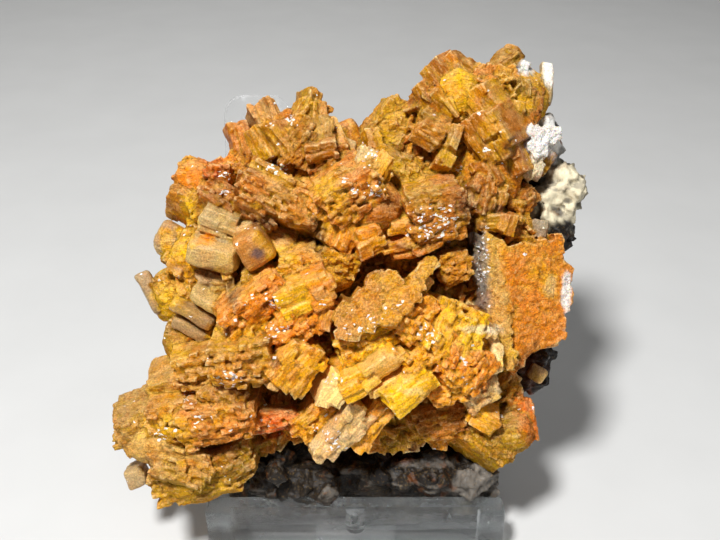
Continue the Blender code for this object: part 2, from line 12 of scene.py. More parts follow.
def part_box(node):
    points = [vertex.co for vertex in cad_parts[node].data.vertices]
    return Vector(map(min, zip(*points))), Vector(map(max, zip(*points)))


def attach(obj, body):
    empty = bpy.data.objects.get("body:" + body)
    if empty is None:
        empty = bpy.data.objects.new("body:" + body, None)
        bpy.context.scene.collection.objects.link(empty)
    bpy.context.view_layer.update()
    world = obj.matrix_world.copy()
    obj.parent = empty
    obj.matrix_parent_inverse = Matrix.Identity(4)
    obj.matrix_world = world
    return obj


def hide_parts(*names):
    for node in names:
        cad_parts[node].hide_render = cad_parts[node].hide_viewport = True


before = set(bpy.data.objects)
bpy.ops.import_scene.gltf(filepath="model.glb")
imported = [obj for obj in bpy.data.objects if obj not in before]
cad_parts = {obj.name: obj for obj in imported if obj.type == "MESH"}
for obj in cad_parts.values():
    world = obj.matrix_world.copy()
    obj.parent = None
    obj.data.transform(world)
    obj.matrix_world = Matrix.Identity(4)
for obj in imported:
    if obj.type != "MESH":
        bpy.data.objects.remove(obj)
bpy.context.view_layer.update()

# Shapes are made in millimetres on the crystal face (x to the right, up along the
# face, out towards the viewer) and turned to metres in the frame at the end.
MM = 0.001
SEED = 11
FACE_HEIGHT = 52.8
FACE_TILT = math.radians(31.0)
VIEW_DISTANCE = 180.0
# Where the stand's middle and its back edge lie from the middle of the face (mm).
STAND_MIDDLE = -0.95
BASE_BACK = 35.0

# Colours as seen, 0 to 255.
TONES = {
    "tan": (208, 146, 70),
    "sand": (214, 172, 104),
    "amber": (206, 122, 24),
    "honey": (226, 158, 30),
    "yellow": (236, 182, 24),
    "ochre": (206, 152, 8),
    "olive": (150, 114, 10),
    "beige": (206, 178, 132),
    "pale": (230, 202, 144),
    "peach": (238, 186, 124),
    "rust": (176, 98, 34),
    "red": (216, 84, 18),
    "pink": (208, 136, 84),
    "brown": (140, 80, 20),
    "orange": (226, 128, 30),
    "white": (240, 238, 232),
    "cream": (226, 214, 182),
    "grey": (120, 114, 106),
    "rock": (40, 34, 28),
    "dark": (26, 22, 20),
    "purple": (104, 80, 74),
    "sulphur": (226, 174, 12),
    "coral": (208, 112, 74),
    "umber": (70, 32, 10),
}

# How the crystals of a book look: plate pitch, brick length, how unevenly they stand
# out, how far the front rounds off towards its edges and how deep its grain is (all
# mm), how far the plates fan out (degrees), how sugary and how glossy the faces are.
Style = namedtuple("Style", "pitch brick uneven dome grain fan sugar gloss")
STYLES = {
    "leafy": Style(0.75, 1.4, 1.2, 1.1, 0.10, 16, 0.25, 0.2),
    "bricks": Style(0.85, 1.1, 1.2, 0.9, 0.10, 12, 0.25, 0.25),
    "long": Style(0.95, 4.5, 0.9, 0.9, 0.06, 8, 0.15, 0.3),
    "block": Style(1.25, 2.8, 0.7, 0.9, 0.07, 6, 0.1, 0.45),
    "facet": Style(1.70, 3.6, 1.0, 0.5, 0.04, 9, 0.0, 0.55),
    "smooth": Style(5.00, 4.5, 0.4, 1.0, 0.05, 3, 0.0, 0.6),
    "rough": Style(0.90, 1.3, 0.9, 1.2, 0.20, 16, 1.0, 0.0),
}

# The middle of a book's front on the face, how far out it is, the direction its plates
# run (degrees from x), its length along them and thickness across them, its lean
# towards the viewer, its tone, its style if it isn't faceted, and its dip along the run.
Book = namedtuple("Book", "x up front run length stack lean tone style dip",
                  defaults=["facet", 0])
CROWN = [
    (-10.6, 28.6, 6, 64, 13, 5, 14, "honey", "bricks", 6),
    (-6.8, 27.4, 6.6, 104, 8, 3, 16, "sand", "facet", 4),
    (-4.6, 26.6, 5, 110, 10, 2.6, 0, "tan", "facet", 4),
    (-7.6, 22.9, 8, 8, 7, 3, 34, "brown"),
    (-2, 24.2, 4, 80, 4, 1.8, 5, "pale"),
    (-10.8, 25, 7, 60, 10, 5, 20, "tan", "rough"),
    (-17.6, 30.4, 3, 118, 10.5, 5.5, 14, "peach", "long", 5),
    (-15, 27.6, 6, 130, 9, 5, 20, "honey", "long"),
    (-23.6, 26, 2, 104, 8, 4, 10, "orange", "block"),
    (-21.4, 24.4, 5, -62, 7, 3.6, 34, "honey"),
    (-17.4, 26.6, 6.4, -60, 6, 3.2, 34, "amber"),
    (-31.8, 19.8, 4, 158, 11.5, 6, 18, "orange", "leafy", 4),
    (-33.2, 16.2, 5, 152, 9.5, 5.5, 24, "tan", "leafy"),
    (-27.5, 15.8, 7, 150, 8, 5, 30, "rust", "leafy"),
    (-28.6, 20.4, 7, 170, 6, 2.4, 20, "red", "leafy"),
    (-16.4, 18.8, 11.5, 152, 13, 3.8, 22, "honey", "long"),
    (-20.4, 18.6, 12, 152, 7, 4.2, 22, "pink", "leafy"),
    (-15, 14.8, 12, 150, 15, 5.5, 16, "tan", "leafy"),
    (-21, 15.4, 12, 150, 7, 4.6, 16, "pink", "leafy"),
    (-20.2, 11.8, 10, 146, 7, 4, 12, "brown", "leafy"),
    (-11.8, 10.2, 10.4, -14, 5, 4.2, 22, "sand"),
    (-2.2, 26.5, 1, 112, 10, 4, 0, "amber", "smooth"),
    (-6, 20.8, 6, 20, 9, 4, 20, "rust", "bricks"),
    (-9.4, 31.4, 5, 74, 9, 2.6, 20, "sand", "block"),
    (-8, 30.4, 5.6, 92, 7, 2, 10, "tan", "block"),
]
LEFT = [
    (-31.8, 12.4, 6, 35, 6, 3.6, 10, "tan", "leafy"),
    (-29.2, 7.6, 9, -22, 7.2, 6.2, 26, "pale"),
    (-23.2, 7.4, 9, 18, 5.5, 1.8, 20, "pale"),
    (-30.7, 2, 8.6, -12, 9.8, 4.6, 28, "pale", "smooth"),
    (-37.2, -0.2, 4.6, -24, 4.4, 2.6, 14, "beige"),
    (-38, 6.4, 0, 62, 6.5, 4.2, 10, "beige", "smooth", 5),
    (-38, 3, 1, 60, 4, 2.4, 10, "ochre", "rough", 5),
    (-21.1, 3.4, 12, 30, 6.2, 6.4, 15, "pink", "smooth"),
    (-15.5, 6.6, 5, 165, 7, 5, 30, "brown", "smooth"),
    (-41.4, -4.6, 1, 120, 10, 3, 12, "beige", "smooth"),
    (-38, -3.8, 1.6, 118, 8, 4.6, 20, "sulphur", "rough"),
    (-29.6, -3.4, 5, -10, 6.8, 3.4, 26, "beige", "leafy"),
    (-26.5, -3.2, 7, 98, 8, 1.2, 0, "pink"),
    (-31.4, -6.8, 6.6, -30, 8.6, 2.2, 24, "pale", "smooth"),
    (-34.6, -9, 5.6, -28, 10, 2.5, 22, "beige", "smooth"),
    (-28, -7.8, 8.6, 108, 3.8, 2.4, 5, "tan"),
    (-35.2, -12.2, 4, -32, 9.5, 2.2, 20, "beige", "smooth"),
    (-35.6, -14.8, 2.6, -36, 9.5, 2.6, 20, "olive", "rough"),
    (-34, -17.8, 1.6, -36, 9, 2.2, 20, "beige"),
]
FAN = [
    (-20, -3.2, 9, 24, 6.5, 4.6, 20, "olive", "rough"),
    (-11.6, -0.8, 10.6, 14, 9, 5, 24, "honey", "rough"),
    (-4.6, 0.2, 10, -12, 8, 5, 24, "ochre", "rough"),
    (-20.6, -8.4, 15, 36, 13.6, 6, 22, "orange", "leafy"),
    (-21.6, -13, 13.6, 40, 12, 4.6, 10, "tan", "leafy"),
    (-12.6, -6.8, 16.6, 24, 6.6, 4, 26, "yellow"),
    (-7.8, -5, 17.4, 28, 4.6, 4.6, 22, "pink"),
    (-12.6, -12, 15, 38, 12, 6.6, 18, "orange", "bricks"),
    (-12, -20.5, 15, 50, 9.5, 7.6, 22, "honey", "block"),
    (-16.4, -22.6, 13.4, 56, 4.4, 2, 15, "pale"),
]
LOWER_LEFT = [
    (-24.2, -20.2, 16, 2, 13.5, 7.4, 18, "tan", "bricks"),
    (-33, -21.6, 12, 8, 10, 7, 16, "tan", "leafy"),
    (-27.5, -25.6, 13, 150, 9, 4.6, 14, "tan", "rough"),
    (-39.4, -24.4, 6, 14, 7.5, 3.6, 20, "sand", "block"),
    (-44, -33.4, 9, 22, 8.5, 7, 18, "sand", "rough", 8),
    (-47.4, -34.2, 7, 12, 4.6, 2.6, 10, "sand", "rough"),
    (-38.5, -32, 12, 8, 9, 7, 20, "honey", "leafy"),
    (-28.5, -32.2, 14, 8, 15, 7.4, 18, "amber", "leafy"),
    (-17.6, -31, 9, 8, 10, 3.6, 14, "red", "leafy"),
    (-36, -38.6, 12, 164, 12, 6, 24, "sand", "leafy"),
    (-33, -43.6, 9, 6, 17, 6.6, 12, "ochre", "leafy"),
    (-25.6, -39.6, 9, 20, 8, 6, 12, "olive", "rough"),
    (-45, -41.8, 2, 20, 4.6, 4, 10, "beige", "smooth"),
]
MIDDLE = [
    (-0.6, 13.4, 15, 34, 12, 7, 28, "rust", "bricks"),
    (-5.6, 13.8, 12.6, 42, 10, 5, 18, "tan", "leafy"),
    (0.4, 18, 11.5, 20, 10, 5, 20, "sand", "rough"),
    (1.6, 22.6, 10, 64, 5, 2.8, 10, "pale", "block", 20),
    (5, 21.4, 11, 60, 4.8, 3, 10, "sand", "facet", 20),
    (-5.2, 7.4, 11, 66, 5, 3, 20, "tan"),
    (-2.2, 6.4, 12, 72, 5.6, 2.6, 20, "amber"),
    (2.8, 5, 13, 20, 5.2, 5, 22, "amber", "facet", 10),
    (16, 9.3, 15, 14, 11, 9.4, 20, "rust", "rough"),
    (9.3, 7.9, 11, 8, 6.5, 2.6, 24, "honey"),
    (9.6, 3.4, 11, 12, 8, 3.4, 22, "amber", "long"),
    (-6, -8.8, 15, 78, 5, 2.6, 16, "pink"),
    (19.4, 0.2, 10, 30, 7, 6, 10, "tan", "rough"),
    (12.6, -4.2, 13.5, 40, 5, 1.4, 10, "sand"),
]
LOWER_MIDDLE = [
    (13.4, -11, 17.5, 58, 9, 7.4, 22, "tan", "bricks"),
    (20.4, -13.8, 17.8, 60, 11, 8.6, 16, "yellow", "bricks"),
    (22.6, -20, 16.6, 56, 9, 10.5, 18, "orange", "bricks"),
    (14.6, -18.6, 17.4, 40, 9, 5, 20, "honey", "bricks"),
    (24, -11.9, 15.8, -36, 8, 1.2, 10, "pale", "bricks"),
    (27.5, -17.6, 14.6, -80, 7, 1.2, 10, "pale", "bricks"),
    (3, -16, 15, 28, 14, 6.6, 20, "yellow", "bricks"),
    (4.9, -20.5, 17.6, 34, 9, 2.7, 22, "sand"),
    (-0.3, -23.6, 17.2, 34, 4.8, 4.2, 18, "honey"),
    (-4.2, -25.4, 15.6, 60, 6.4, 3.8, 16, "pale"),
    (6.4, -24, 15.8, 24, 8.6, 1.8, 24, "sand"),
    (11.2, -25.4, 17.6, 33, 9.8, 4.2, 26, "yellow", "facet", 8),
    (18.4, -25.6, 13.6, 18, 8, 3.2, 16, "tan", "bricks"),
    (25, -25.4, 12, 30, 8, 3.6, 14, "beige", "rough"),
    (-8.4, -31.4, 11, 40, 9, 6, 14, "tan", "leafy"),
    (-2.6, -33.6, 13, 48, 13, 4.8, 20, "beige", "block"),
    (2.4, -31.4, 11, 52, 10, 4.6, 10, "tan", "block"),
    (16.5, -31.6, 6, 14, 13, 6.6, 16, "brown", "rough"),
    (24.4, -30.8, 9.6, -30, 5.6, 3.6, 16, "honey"),
    (28.4, -32.4, 6, 150, 11, 9, 20, "olive", "rough"),
    (33.4, -30, 4.4, 104, 9.5, 4.4, 10, "coral", "rough"),
    (35.6, -20.8, -2, 60, 3.4, 3, 10, "beige", "smooth"),
    (37.6, -13.8, -2, 20, 3.6, 2.8, 10, "beige", "smooth"),
]
UPPER_RIGHT = [
    (6.6, 29, 2, 60, 11, 6.6, 18, "ochre", "rough"),
    (3.2, 26.4, 4, 100, 5, 3.2, 10, "tan"),
    (9, 22, 4, 150, 9, 6.6, 25, "olive", "rough"),
    (13.6, 17.2, 4, 170, 11, 8, 20, "ochre", "rough"),
    (14.9, 38.2, 2, -48, 6.8, 4, 38, "amber"),
    (18.2, 39.8, 1, -50, 6.4, 4.4, 28, "tan"),
    (21.3, 39.6, -1, -40, 4, 3, 24, "tan"),
    (24.2, 38.6, 0.6, 50, 5, 2.4, 16, "yellow"),
    (18.4, 32.8, 5.6, -62, 4.4, 1, 10, "yellow"),
    (11.4, 33.2, 3, -52, 7.2, 3.6, 40, "amber"),
    (15.4, 32.2, 4, -48, 6.6, 3.4, 38, "amber"),
    (13.8, 29.4, 5, -36, 5.6, 2.6, 30, "ochre", "block"),
    (13.2, 25.8, 7.4, -32, 5.8, 4.2, 40, "tan", "long"),
    (18, 23, 6.6, 72, 3.8, 2.8, 12, "yellow", "facet", 10),
    (23.6, 32.8, 5, -55, 7.6, 6.4, 38, "honey"),
    (24.4, 25.8, 8.8, -58, 10, 8, 36, "amber"),
    (19.2, 26.6, 7.6, 70, 5, 2, 10, "sand"),
    (30, 31.4, 4.2, 80, 7, 1.9, 8, "yellow"),
    (31.8, 30.2, 3.6, 84, 7, 1.9, 8, "honey"),
    (30.4, 38.2, 0, 52, 10.5, 7.6, 22, "ochre", "rough"),
    (31, 42.2, -1, 48, 4.6, 3, 24, "tan"),
    (33.2, 40.2, 1, 62, 4, 1.8, 10, "white"),
    (34.6, 33.4, 1, 82, 9, 4.6, 6, "pink", "rough"),
    (37.5, 37.8, -1.6, 87, 9.5, 2, 0, "cream"),
    (37.6, 21.6, 0.6, 58, 5.6, 3.2, 12, "amber"),
    (30, 21.8, 6.4, -64, 7, 4.4, 30, "orange"),
    (24.4, 18.8, 7.4, -58, 6, 4.4, 34, "amber"),
    (26.6, 15, 8.4, 76, 8, 6.8, 14, "amber", "leafy"),
    (33.4, 13.4, 2, 40, 7, 4.6, 20, "amber", "rough"),
    (26.3, 8.8, 7.2, -4, 5, 3.2, 28, "honey"),
    (30.4, 9.6, 7.8, 74, 4.4, 3.4, 8, "orange"),
    (36.7, 8.2, 3, 80, 3.8, 2.2, 5, "cream"),
]

# A sheet lies flat in the face: the outline, where its front is how far out, how that
# changes per millimetre to the right and up, and its tone.
Sheet = namedtuple("Sheet", "x up front slope_x slope_up tone outline")
MIDDLE_SHEETS = [
    Sheet(0.6, -7.0, 16.4, 0.10, -0.28, "tan", [
        (3.0, -0.1), (6.7, 0.1), (8.3, -1.9), (8.0, -4.2), (5.4, -7.5), (4.7, -9.2),
        (4.0, -11.8), (-0.6, -12.8), (-2.2, -14.1), (-4.9, -13.1), (-3.9, -10.8),
        (-5.2, -7.2), (-1.9, -6.9), (0.7, -4.2),
    ]),
    Sheet(10.0, -4.8, 18.0, 0.10, -0.25, "honey", [
        (15.9, 2.0), (15.8, 0.4), (12.3, -2.9), (11.6, -5.5), (9.3, -7.5), (8.7, -8.8),
        (5.7, -11.8), (4.7, -10.5), (5.4, -7.5), (6.0, -6.2), (10.0, -2.6), (11.3, -0.3),
        (14.3, 2.4),
    ]),
]
RIGHT_SHEETS = [
    Sheet(37.0, 26.0, 3.4, -0.2, 0.1, "white", [
        (34.4, 28.7), (36.0, 29.0), (38.1, 28.1), (39.9, 29.3), (40.6, 27.5), (38.8, 25.2),
        (36.9, 23.6), (34.8, 22.5), (34.2, 24.8),
    ]),
    Sheet(34.6, 20.5, 2.4, -0.2, 0.1, "cream", [
        (34.2, 22.4), (36.4, 23.2), (36.2, 20.6), (36.4, 18.8), (33.0, 18.0),
    ]),
    Sheet(34.8, -4.0, 7.4, -0.12, 0.05, "orange", [
        (28.2, 4.2), (31.0, 3.7), (35.3, 4.8), (37.5, 5.6), (40.2, 6.9), (40.8, 2.0),
        (42.3, -3.3), (41.6, -7.0), (41.2, -9.4), (40.2, -13.2), (35.3, -15.9),
        (31.9, -18.8), (30.4, -20.7), (29.6, -14.8),
    ]),
    Sheet(28.0, -4.0, 8.0, 0.42, 0.0, "sand", [
        (24.2, 7.4), (27.9, 6.3), (28.8, 4.2), (30.4, -14.8), (31.2, -20.7), (28.5, -17.0),
        (27.5, -12.0), (26.6, -7.6), (25.2, 0.0),
    ]),
    Sheet(24.6, 0.0, 6.2, 0.9, 0.0, "grey", [
        (22.4, 7.8), (24.6, 7.2), (25.8, 0.0), (27.2, -8.0), (25.8, -9.0), (24.2, -3.0),
        (23.0, 3.0),
    ]),
]

# Rounded lobes under the books: the middle, half sizes and tone.
Lobe = namedtuple("Lobe", "x up out half_x half_up half_out tone")
LOBES = [Lobe(*row) for row in [
    (-32.5, 17.5, -1, 4.6, 4.8, 6, "orange"),
    (-38, 5.5, -4, 3.2, 3.4, 4.5, "beige"),
    (-37.4, -5, -4, 4.4, 5.6, 5.4, "sulphur"),
    (-34.6, -14, -2.4, 4.6, 5.4, 5, "olive"),
    (-34, 2, -1, 4, 5, 5, "sulphur"),
    (-40, -33.5, 3, 7.4, 5, 7, "sand"),
    (-33, -41, 2, 7.6, 5.6, 7, "ochre"),
    (26, 20, -1, 6.6, 9, 7, "amber"),
    (19.6, 35, -1, 4.6, 5.4, 5.4, "sulphur"),
    (-9.4, -0.6, 3.6, 8.8, 4.6, 6.2, "honey"),
    (6.5, 27.5, -3, 4.8, 6.2, 5.5, "olive"),
    (31, 34, -5, 6.6, 7.6, 6, "ochre"),
    (29.5, -32, 0, 5.2, 4.8, 6.5, "olive"),
    (-21.5, -12, 4, 6.6, 5.6, 8, "brown"),
    (16, -14, 5, 12, 8, 9, "brown"),
    (2, 12, 4, 7.4, 6.4, 8, "brown"),
]]

# Outlines on the face, x and up, clockwise from the lower left.
CRUST_OUTLINE = [
    (-39, -34), (-35, -26), (-33, -20), (-34, -12), (-37, -4), (-36, 4), (-32, 9),
    (-34, 16), (-29, 20), (-22, 24), (-17, 30), (-9, 31), (-1, 25), (6, 30), (14, 37),
    (21, 37), (29, 40), (32, 37), (31, 28), (31, 18), (34, 8), (36, -4), (34, -12),
    (30, -20), (31, -31), (22, -33), (6, -35), (-10, -32), (-20, -35), (-25, -42),
    (-36, -43),
]
CRUST_BACK = -7.6
CRUST_CORE_OUT = 1.0
BOOK_BACK = -4.0

# Sizes of the stand that the stone keeps clear of.
BASE_THICK = 4.0
LIP_TOP = 12.0
END_BLOCK_DEPTH = 4.4
PLATE_FOOT = -10.6
PLATE_LEAN = math.radians(27.0)

# Stains and painted shade on the face: the middle, half sizes, tone and strength.
# The umber patches are painted shade in recesses and under overhanging crystals; the others lay
# stains, powder and other tones over the face.
StainAndShade = namedtuple("StainAndShade", "x up half_x half_up tone share")
STAINS_AND_SHADE = [StainAndShade(*row) for row in [
    (-34.5, 10, 1.8, 4.6, "sulphur", 0.9), (-38.8, 5.6, 1.4, 2.6, "sulphur", 0.5),
    (-30.8, 6, 1.8, 1.1, "orange", 0.9), (-30, -0.2, 4.2, 1, "umber", 0.8),
    (10.6, -24.4, 3, 1, "pale", 0.7), (22, -14, 2.6, 2.4, "yellow", 0.6),
    (13, 21.8, 3.4, 1.2, "brown", 0.7), (-38, -3.6, 3.4, 3.4, "sulphur", 0.8),
    (-38.2, 3.2, 1.8, 1.6, "sulphur", 0.7), (-16, 3, 2.8, 2.2, "sulphur", 0.9),
    (-7, 16.6, 3.4, 2.6, "sulphur", 0.6), (-29, -13, 1.8, 1.6, "sulphur", 0.7),
    (-36.6, -16.4, 2, 2.4, "sulphur", 0.7), (-27, -16, 1.8, 1.2, "ochre", 0.7),
    (6, 30, 4.6, 4.2, "ochre", 0.7), (9.5, 19, 5.5, 4, "sulphur", 0.6),
    (13, 14, 4.6, 3, "olive", 0.8), (19.6, 35.6, 3.6, 3.8, "sulphur", 0.8),
    (32, 5, 3.2, 2, "ochre", 0.6), (-33, -44, 8, 3.6, "olive", 0.6),
    (28.4, -32.6, 3.6, 4.2, "olive", 0.6), (33.6, -30, 2.4, 5, "coral", 0.7),
    (-17.5, -31.4, 3.8, 2.4, "red", 0.8), (-28, 22.4, 4.6, 1.6, "red", 0.5),
    (-16, -26.2, 6.6, 2.2, "umber", 0.85), (-13.5, -36.6, 4, 1.5, "dark", 0.9),
    (-37, -31, 3.6, 2.4, "yellow", 0.7), (-24, -31, 6, 2.2, "orange", 0.6),
    (-19.6, 9.4, 2.6, 1.3, "umber", 0.9), (-16.8, -18.6, 0.9, 1.3, "umber", 0.9),
    (21, 13.4, 2.6, 3.4, "umber", 0.85), (27, 12, 3.4, 1.2, "umber", 0.8),
    (10, 4.8, 4.6, 0.7, "umber", 0.8), (2.6, 0.2, 3.4, 0.9, "umber", 0.7),
    (34, -19.4, 2.6, 4.6, "umber", 0.85), (8, -36, 3.6, 2.6, "umber", 0.8),
    (-20.5, 3.2, 1.7, 1.3, "purple", 1), (-9, 6.6, 2.6, 3, "dark", 0.9),
    (-25.4, -4, 1.6, 3.6, "dark", 0.9), (33.4, 40.6, 1.8, 1.5, "white", 0.9),
    (37.6, 40, 1.2, 3.4, "white", 0.9), (37.4, 25.8, 3, 3.2, "white", 0.9),
    (24.4, 1, 1.5, 7.4, "grey", 0.8), (27.6, -4, 2, 12, "sand", 0.6),
    (41.4, -5, 1, 5.4, "white", 0.8), (38, -3, 1.4, 2.6, "pale", 0.7),
    (24.2, -11.9, 4.6, 1, "cream", 0.6),
]]

# Where cells are painted near white as glints on fresh crystal faces: the middle and half sizes.
Glint = namedtuple("Glint", "x up half_x half_up")
GLINTS = [Glint(*row) for row in [
    (-13.5, 29.5, 1.2, 1.2), (-18, 29.5, 1, 1), (-27.5, 18.8, 2, 1), (-27, 15.5, 0.9, 0.7),
    (-16.5, 20.2, 2.2, 1.6), (-22, 8, 1.3, 0.6), (-36.7, -1.3, 0.6, 0.6), (-34, -9, 0.7, 0.7),
    (-21.6, -6, 1.6, 1), (-17.4, -6.2, 1.4, 1.6), (-16, -12.4, 2.6, 1.6), (-7.5, -7, 1, 1),
    (-26, -21.8, 2.6, 1.2), (-34, -25.5, 1.6, 1.6), (-40, -33, 1.4, 1.2), (-33, -30, 1.2, 1),
    (-33, -36, 0.8, 0.8), (-26.5, -42, 0.8, 0.8), (-18, -31, 0.8, 0.6), (3, 16, 3.4, 1.4),
    (-3, 18, 0.8, 0.8), (1.6, 23, 1.8, 2.2), (15, 9.5, 4.4, 3.6), (-1, -11.8, 3.4, 0.9),
    (3.2, -9.8, 1.3, 1.1), (4.6, -8, 1.2, 0.9), (7.6, -7.4, 1.2, 1.2), (-2, -7.6, 0.8, 0.8),
    (13.6, -13, 2, 1.6), (20.4, -18.4, 1, 1), (-5, -22, 1.4, 2), (-5.6, -34.4, 2.6, 2.2),
    (-8.6, -31.6, 0.8, 0.8), (24.6, 24.2, 1.4, 0.8), (20, 20.2, 0.7, 0.7), (24.6, 2, 1.2, 6),
]]

# Lumps of the host rock that stand out of its slab.
ROCK_LUMPS = [Lobe(*row) for row in [
    (-17, -40, -7, 6.5, 6.5, 8, "rock"),
    (-8, -42, -7, 8, 5, 6, "rock"),
    (3, -41, -7, 7.5, 5.5, 7, "dark"),
    (13, -40, -7, 8, 5, 8, "rock"),
    (21, -42, -7, 6.5, 5, 6, "grey"),
    (36, 25.5, -8, 4, 5, 5, "white"),
    (40, 16.5, -9, 4.4, 5, 6.5, "cream"),
    (37, 11.5, -8, 5.6, 4.6, 5, "cream"),
    (38.5, 7, -8, 3.8, 3.2, 5, "dark"),
    (-9, 6.5, -8, 3.6, 3.8, 9, "dark"),
    (-25, -5, -8, 3, 5, 8, "dark"),
    (33.5, -18, -8, 4.4, 5.4, 5.5, "dark"),
]]

FACE_UP = Vector((0.0, math.sin(FACE_TILT), math.cos(FACE_TILT)))
FACE_OUT = Vector((0.0, -math.cos(FACE_TILT), math.sin(FACE_TILT)))

# How fine the grids are on which the crust's and the rock's blocks are fused (mm), and
# the shares of their triangles that are kept.
GRID = 0.25
KEPT = 0.62
ROCK_GRID = 0.42
ROCK_KEPT = 0.6

# How far apart the blocks of the ground and the grains of a flat plate lie (mm).
GROUND_STEP = 2
GRAIN_STEP = 1.3
# How many bricks stand behind the ones that show in each plate of a book.
BACKING_BRICKS = 4
# How many broken pieces make up a lump of the rock.
LUMP_PIECES = 30
# The gap between the stone and its stand (m).
STAND_GAP = 0.0003
# How far the edges of the stand are softened (m).
SOFT_EDGE = 0.0004
# Faces of the stand narrower than this (mm) are its rims.
RIM_WIDTH = 3.2


def face_to_world():
    """From millimetres on the face to the frame's metres, found from the stand."""
    low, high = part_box("display_stand")
    middle = (low[0] + high[0]) / 2 - STAND_MIDDLE * MM
    depth = high[1] - BASE_BACK * MM
    axes = Matrix((Vector((1, 0, 0)), FACE_UP, FACE_OUT)).transposed().to_4x4()
    place = Matrix.Translation((middle, depth, low[2] + FACE_HEIGHT * MM))
    return place @ axes @ Matrix.Scale(MM, 4)


TO_WORLD = face_to_world()


def linear(name):
    """A tone's colour as light adds up."""
    return [(c / 255) ** 2.2 for c in TONES[name]]


def seen_at(x, up, out):
    """Where on the face a point is that was measured from VIEW_DISTANCE away."""
    nearer = 1.0 - out / VIEW_DISTANCE
    return Vector((x * nearer, up * nearer, out))


def stack_axes(run, lean, dip):
    """Axes along the run of a stack, across its plates, and out of it."""
    turn = Matrix.Rotation(math.radians(run), 3, "Z")
    tip = Matrix.Rotation(math.radians(dip), 3, "Y")
    roll = Matrix.Rotation(math.radians(lean), 3, "X")
    return turn @ roll @ tip


BOX_SIGNS = np.array([[x, y, z] for z in (-0.5, 0.5) for y in (-0.5, 0.5) for x in (-0.5, 0.5)])
BOX_FACES = np.array(
    [[0, 2, 3, 1], [4, 5, 7, 6], [0, 1, 5, 4], [2, 6, 7, 3], [0, 4, 6, 2], [1, 3, 7, 5]]
)


def rounded_box(cuts=6, squareness=7.0):
    """Points and faces of a rounded box that fills a cube of two by two by two."""
    bm = bmesh.new()
    bmesh.ops.create_cube(bm, size=2.0)
    bmesh.ops.subdivide_edges(bm, edges=bm.edges, cuts=cuts, use_grid_fill=True)
    points = np.array([v.co for v in bm.verts])
    reach = (np.abs(points) ** squareness).sum(axis=1) ** (1 / squareness)
    faces = [[v.index for v in f.verts] for f in bm.faces]
    bm.free()
    return points / reach[:, None], faces


BAR_POINTS, BAR_FACES = rounded_box()

Look = namedtuple("Look", "tone axes start grain sugar gloss piece")


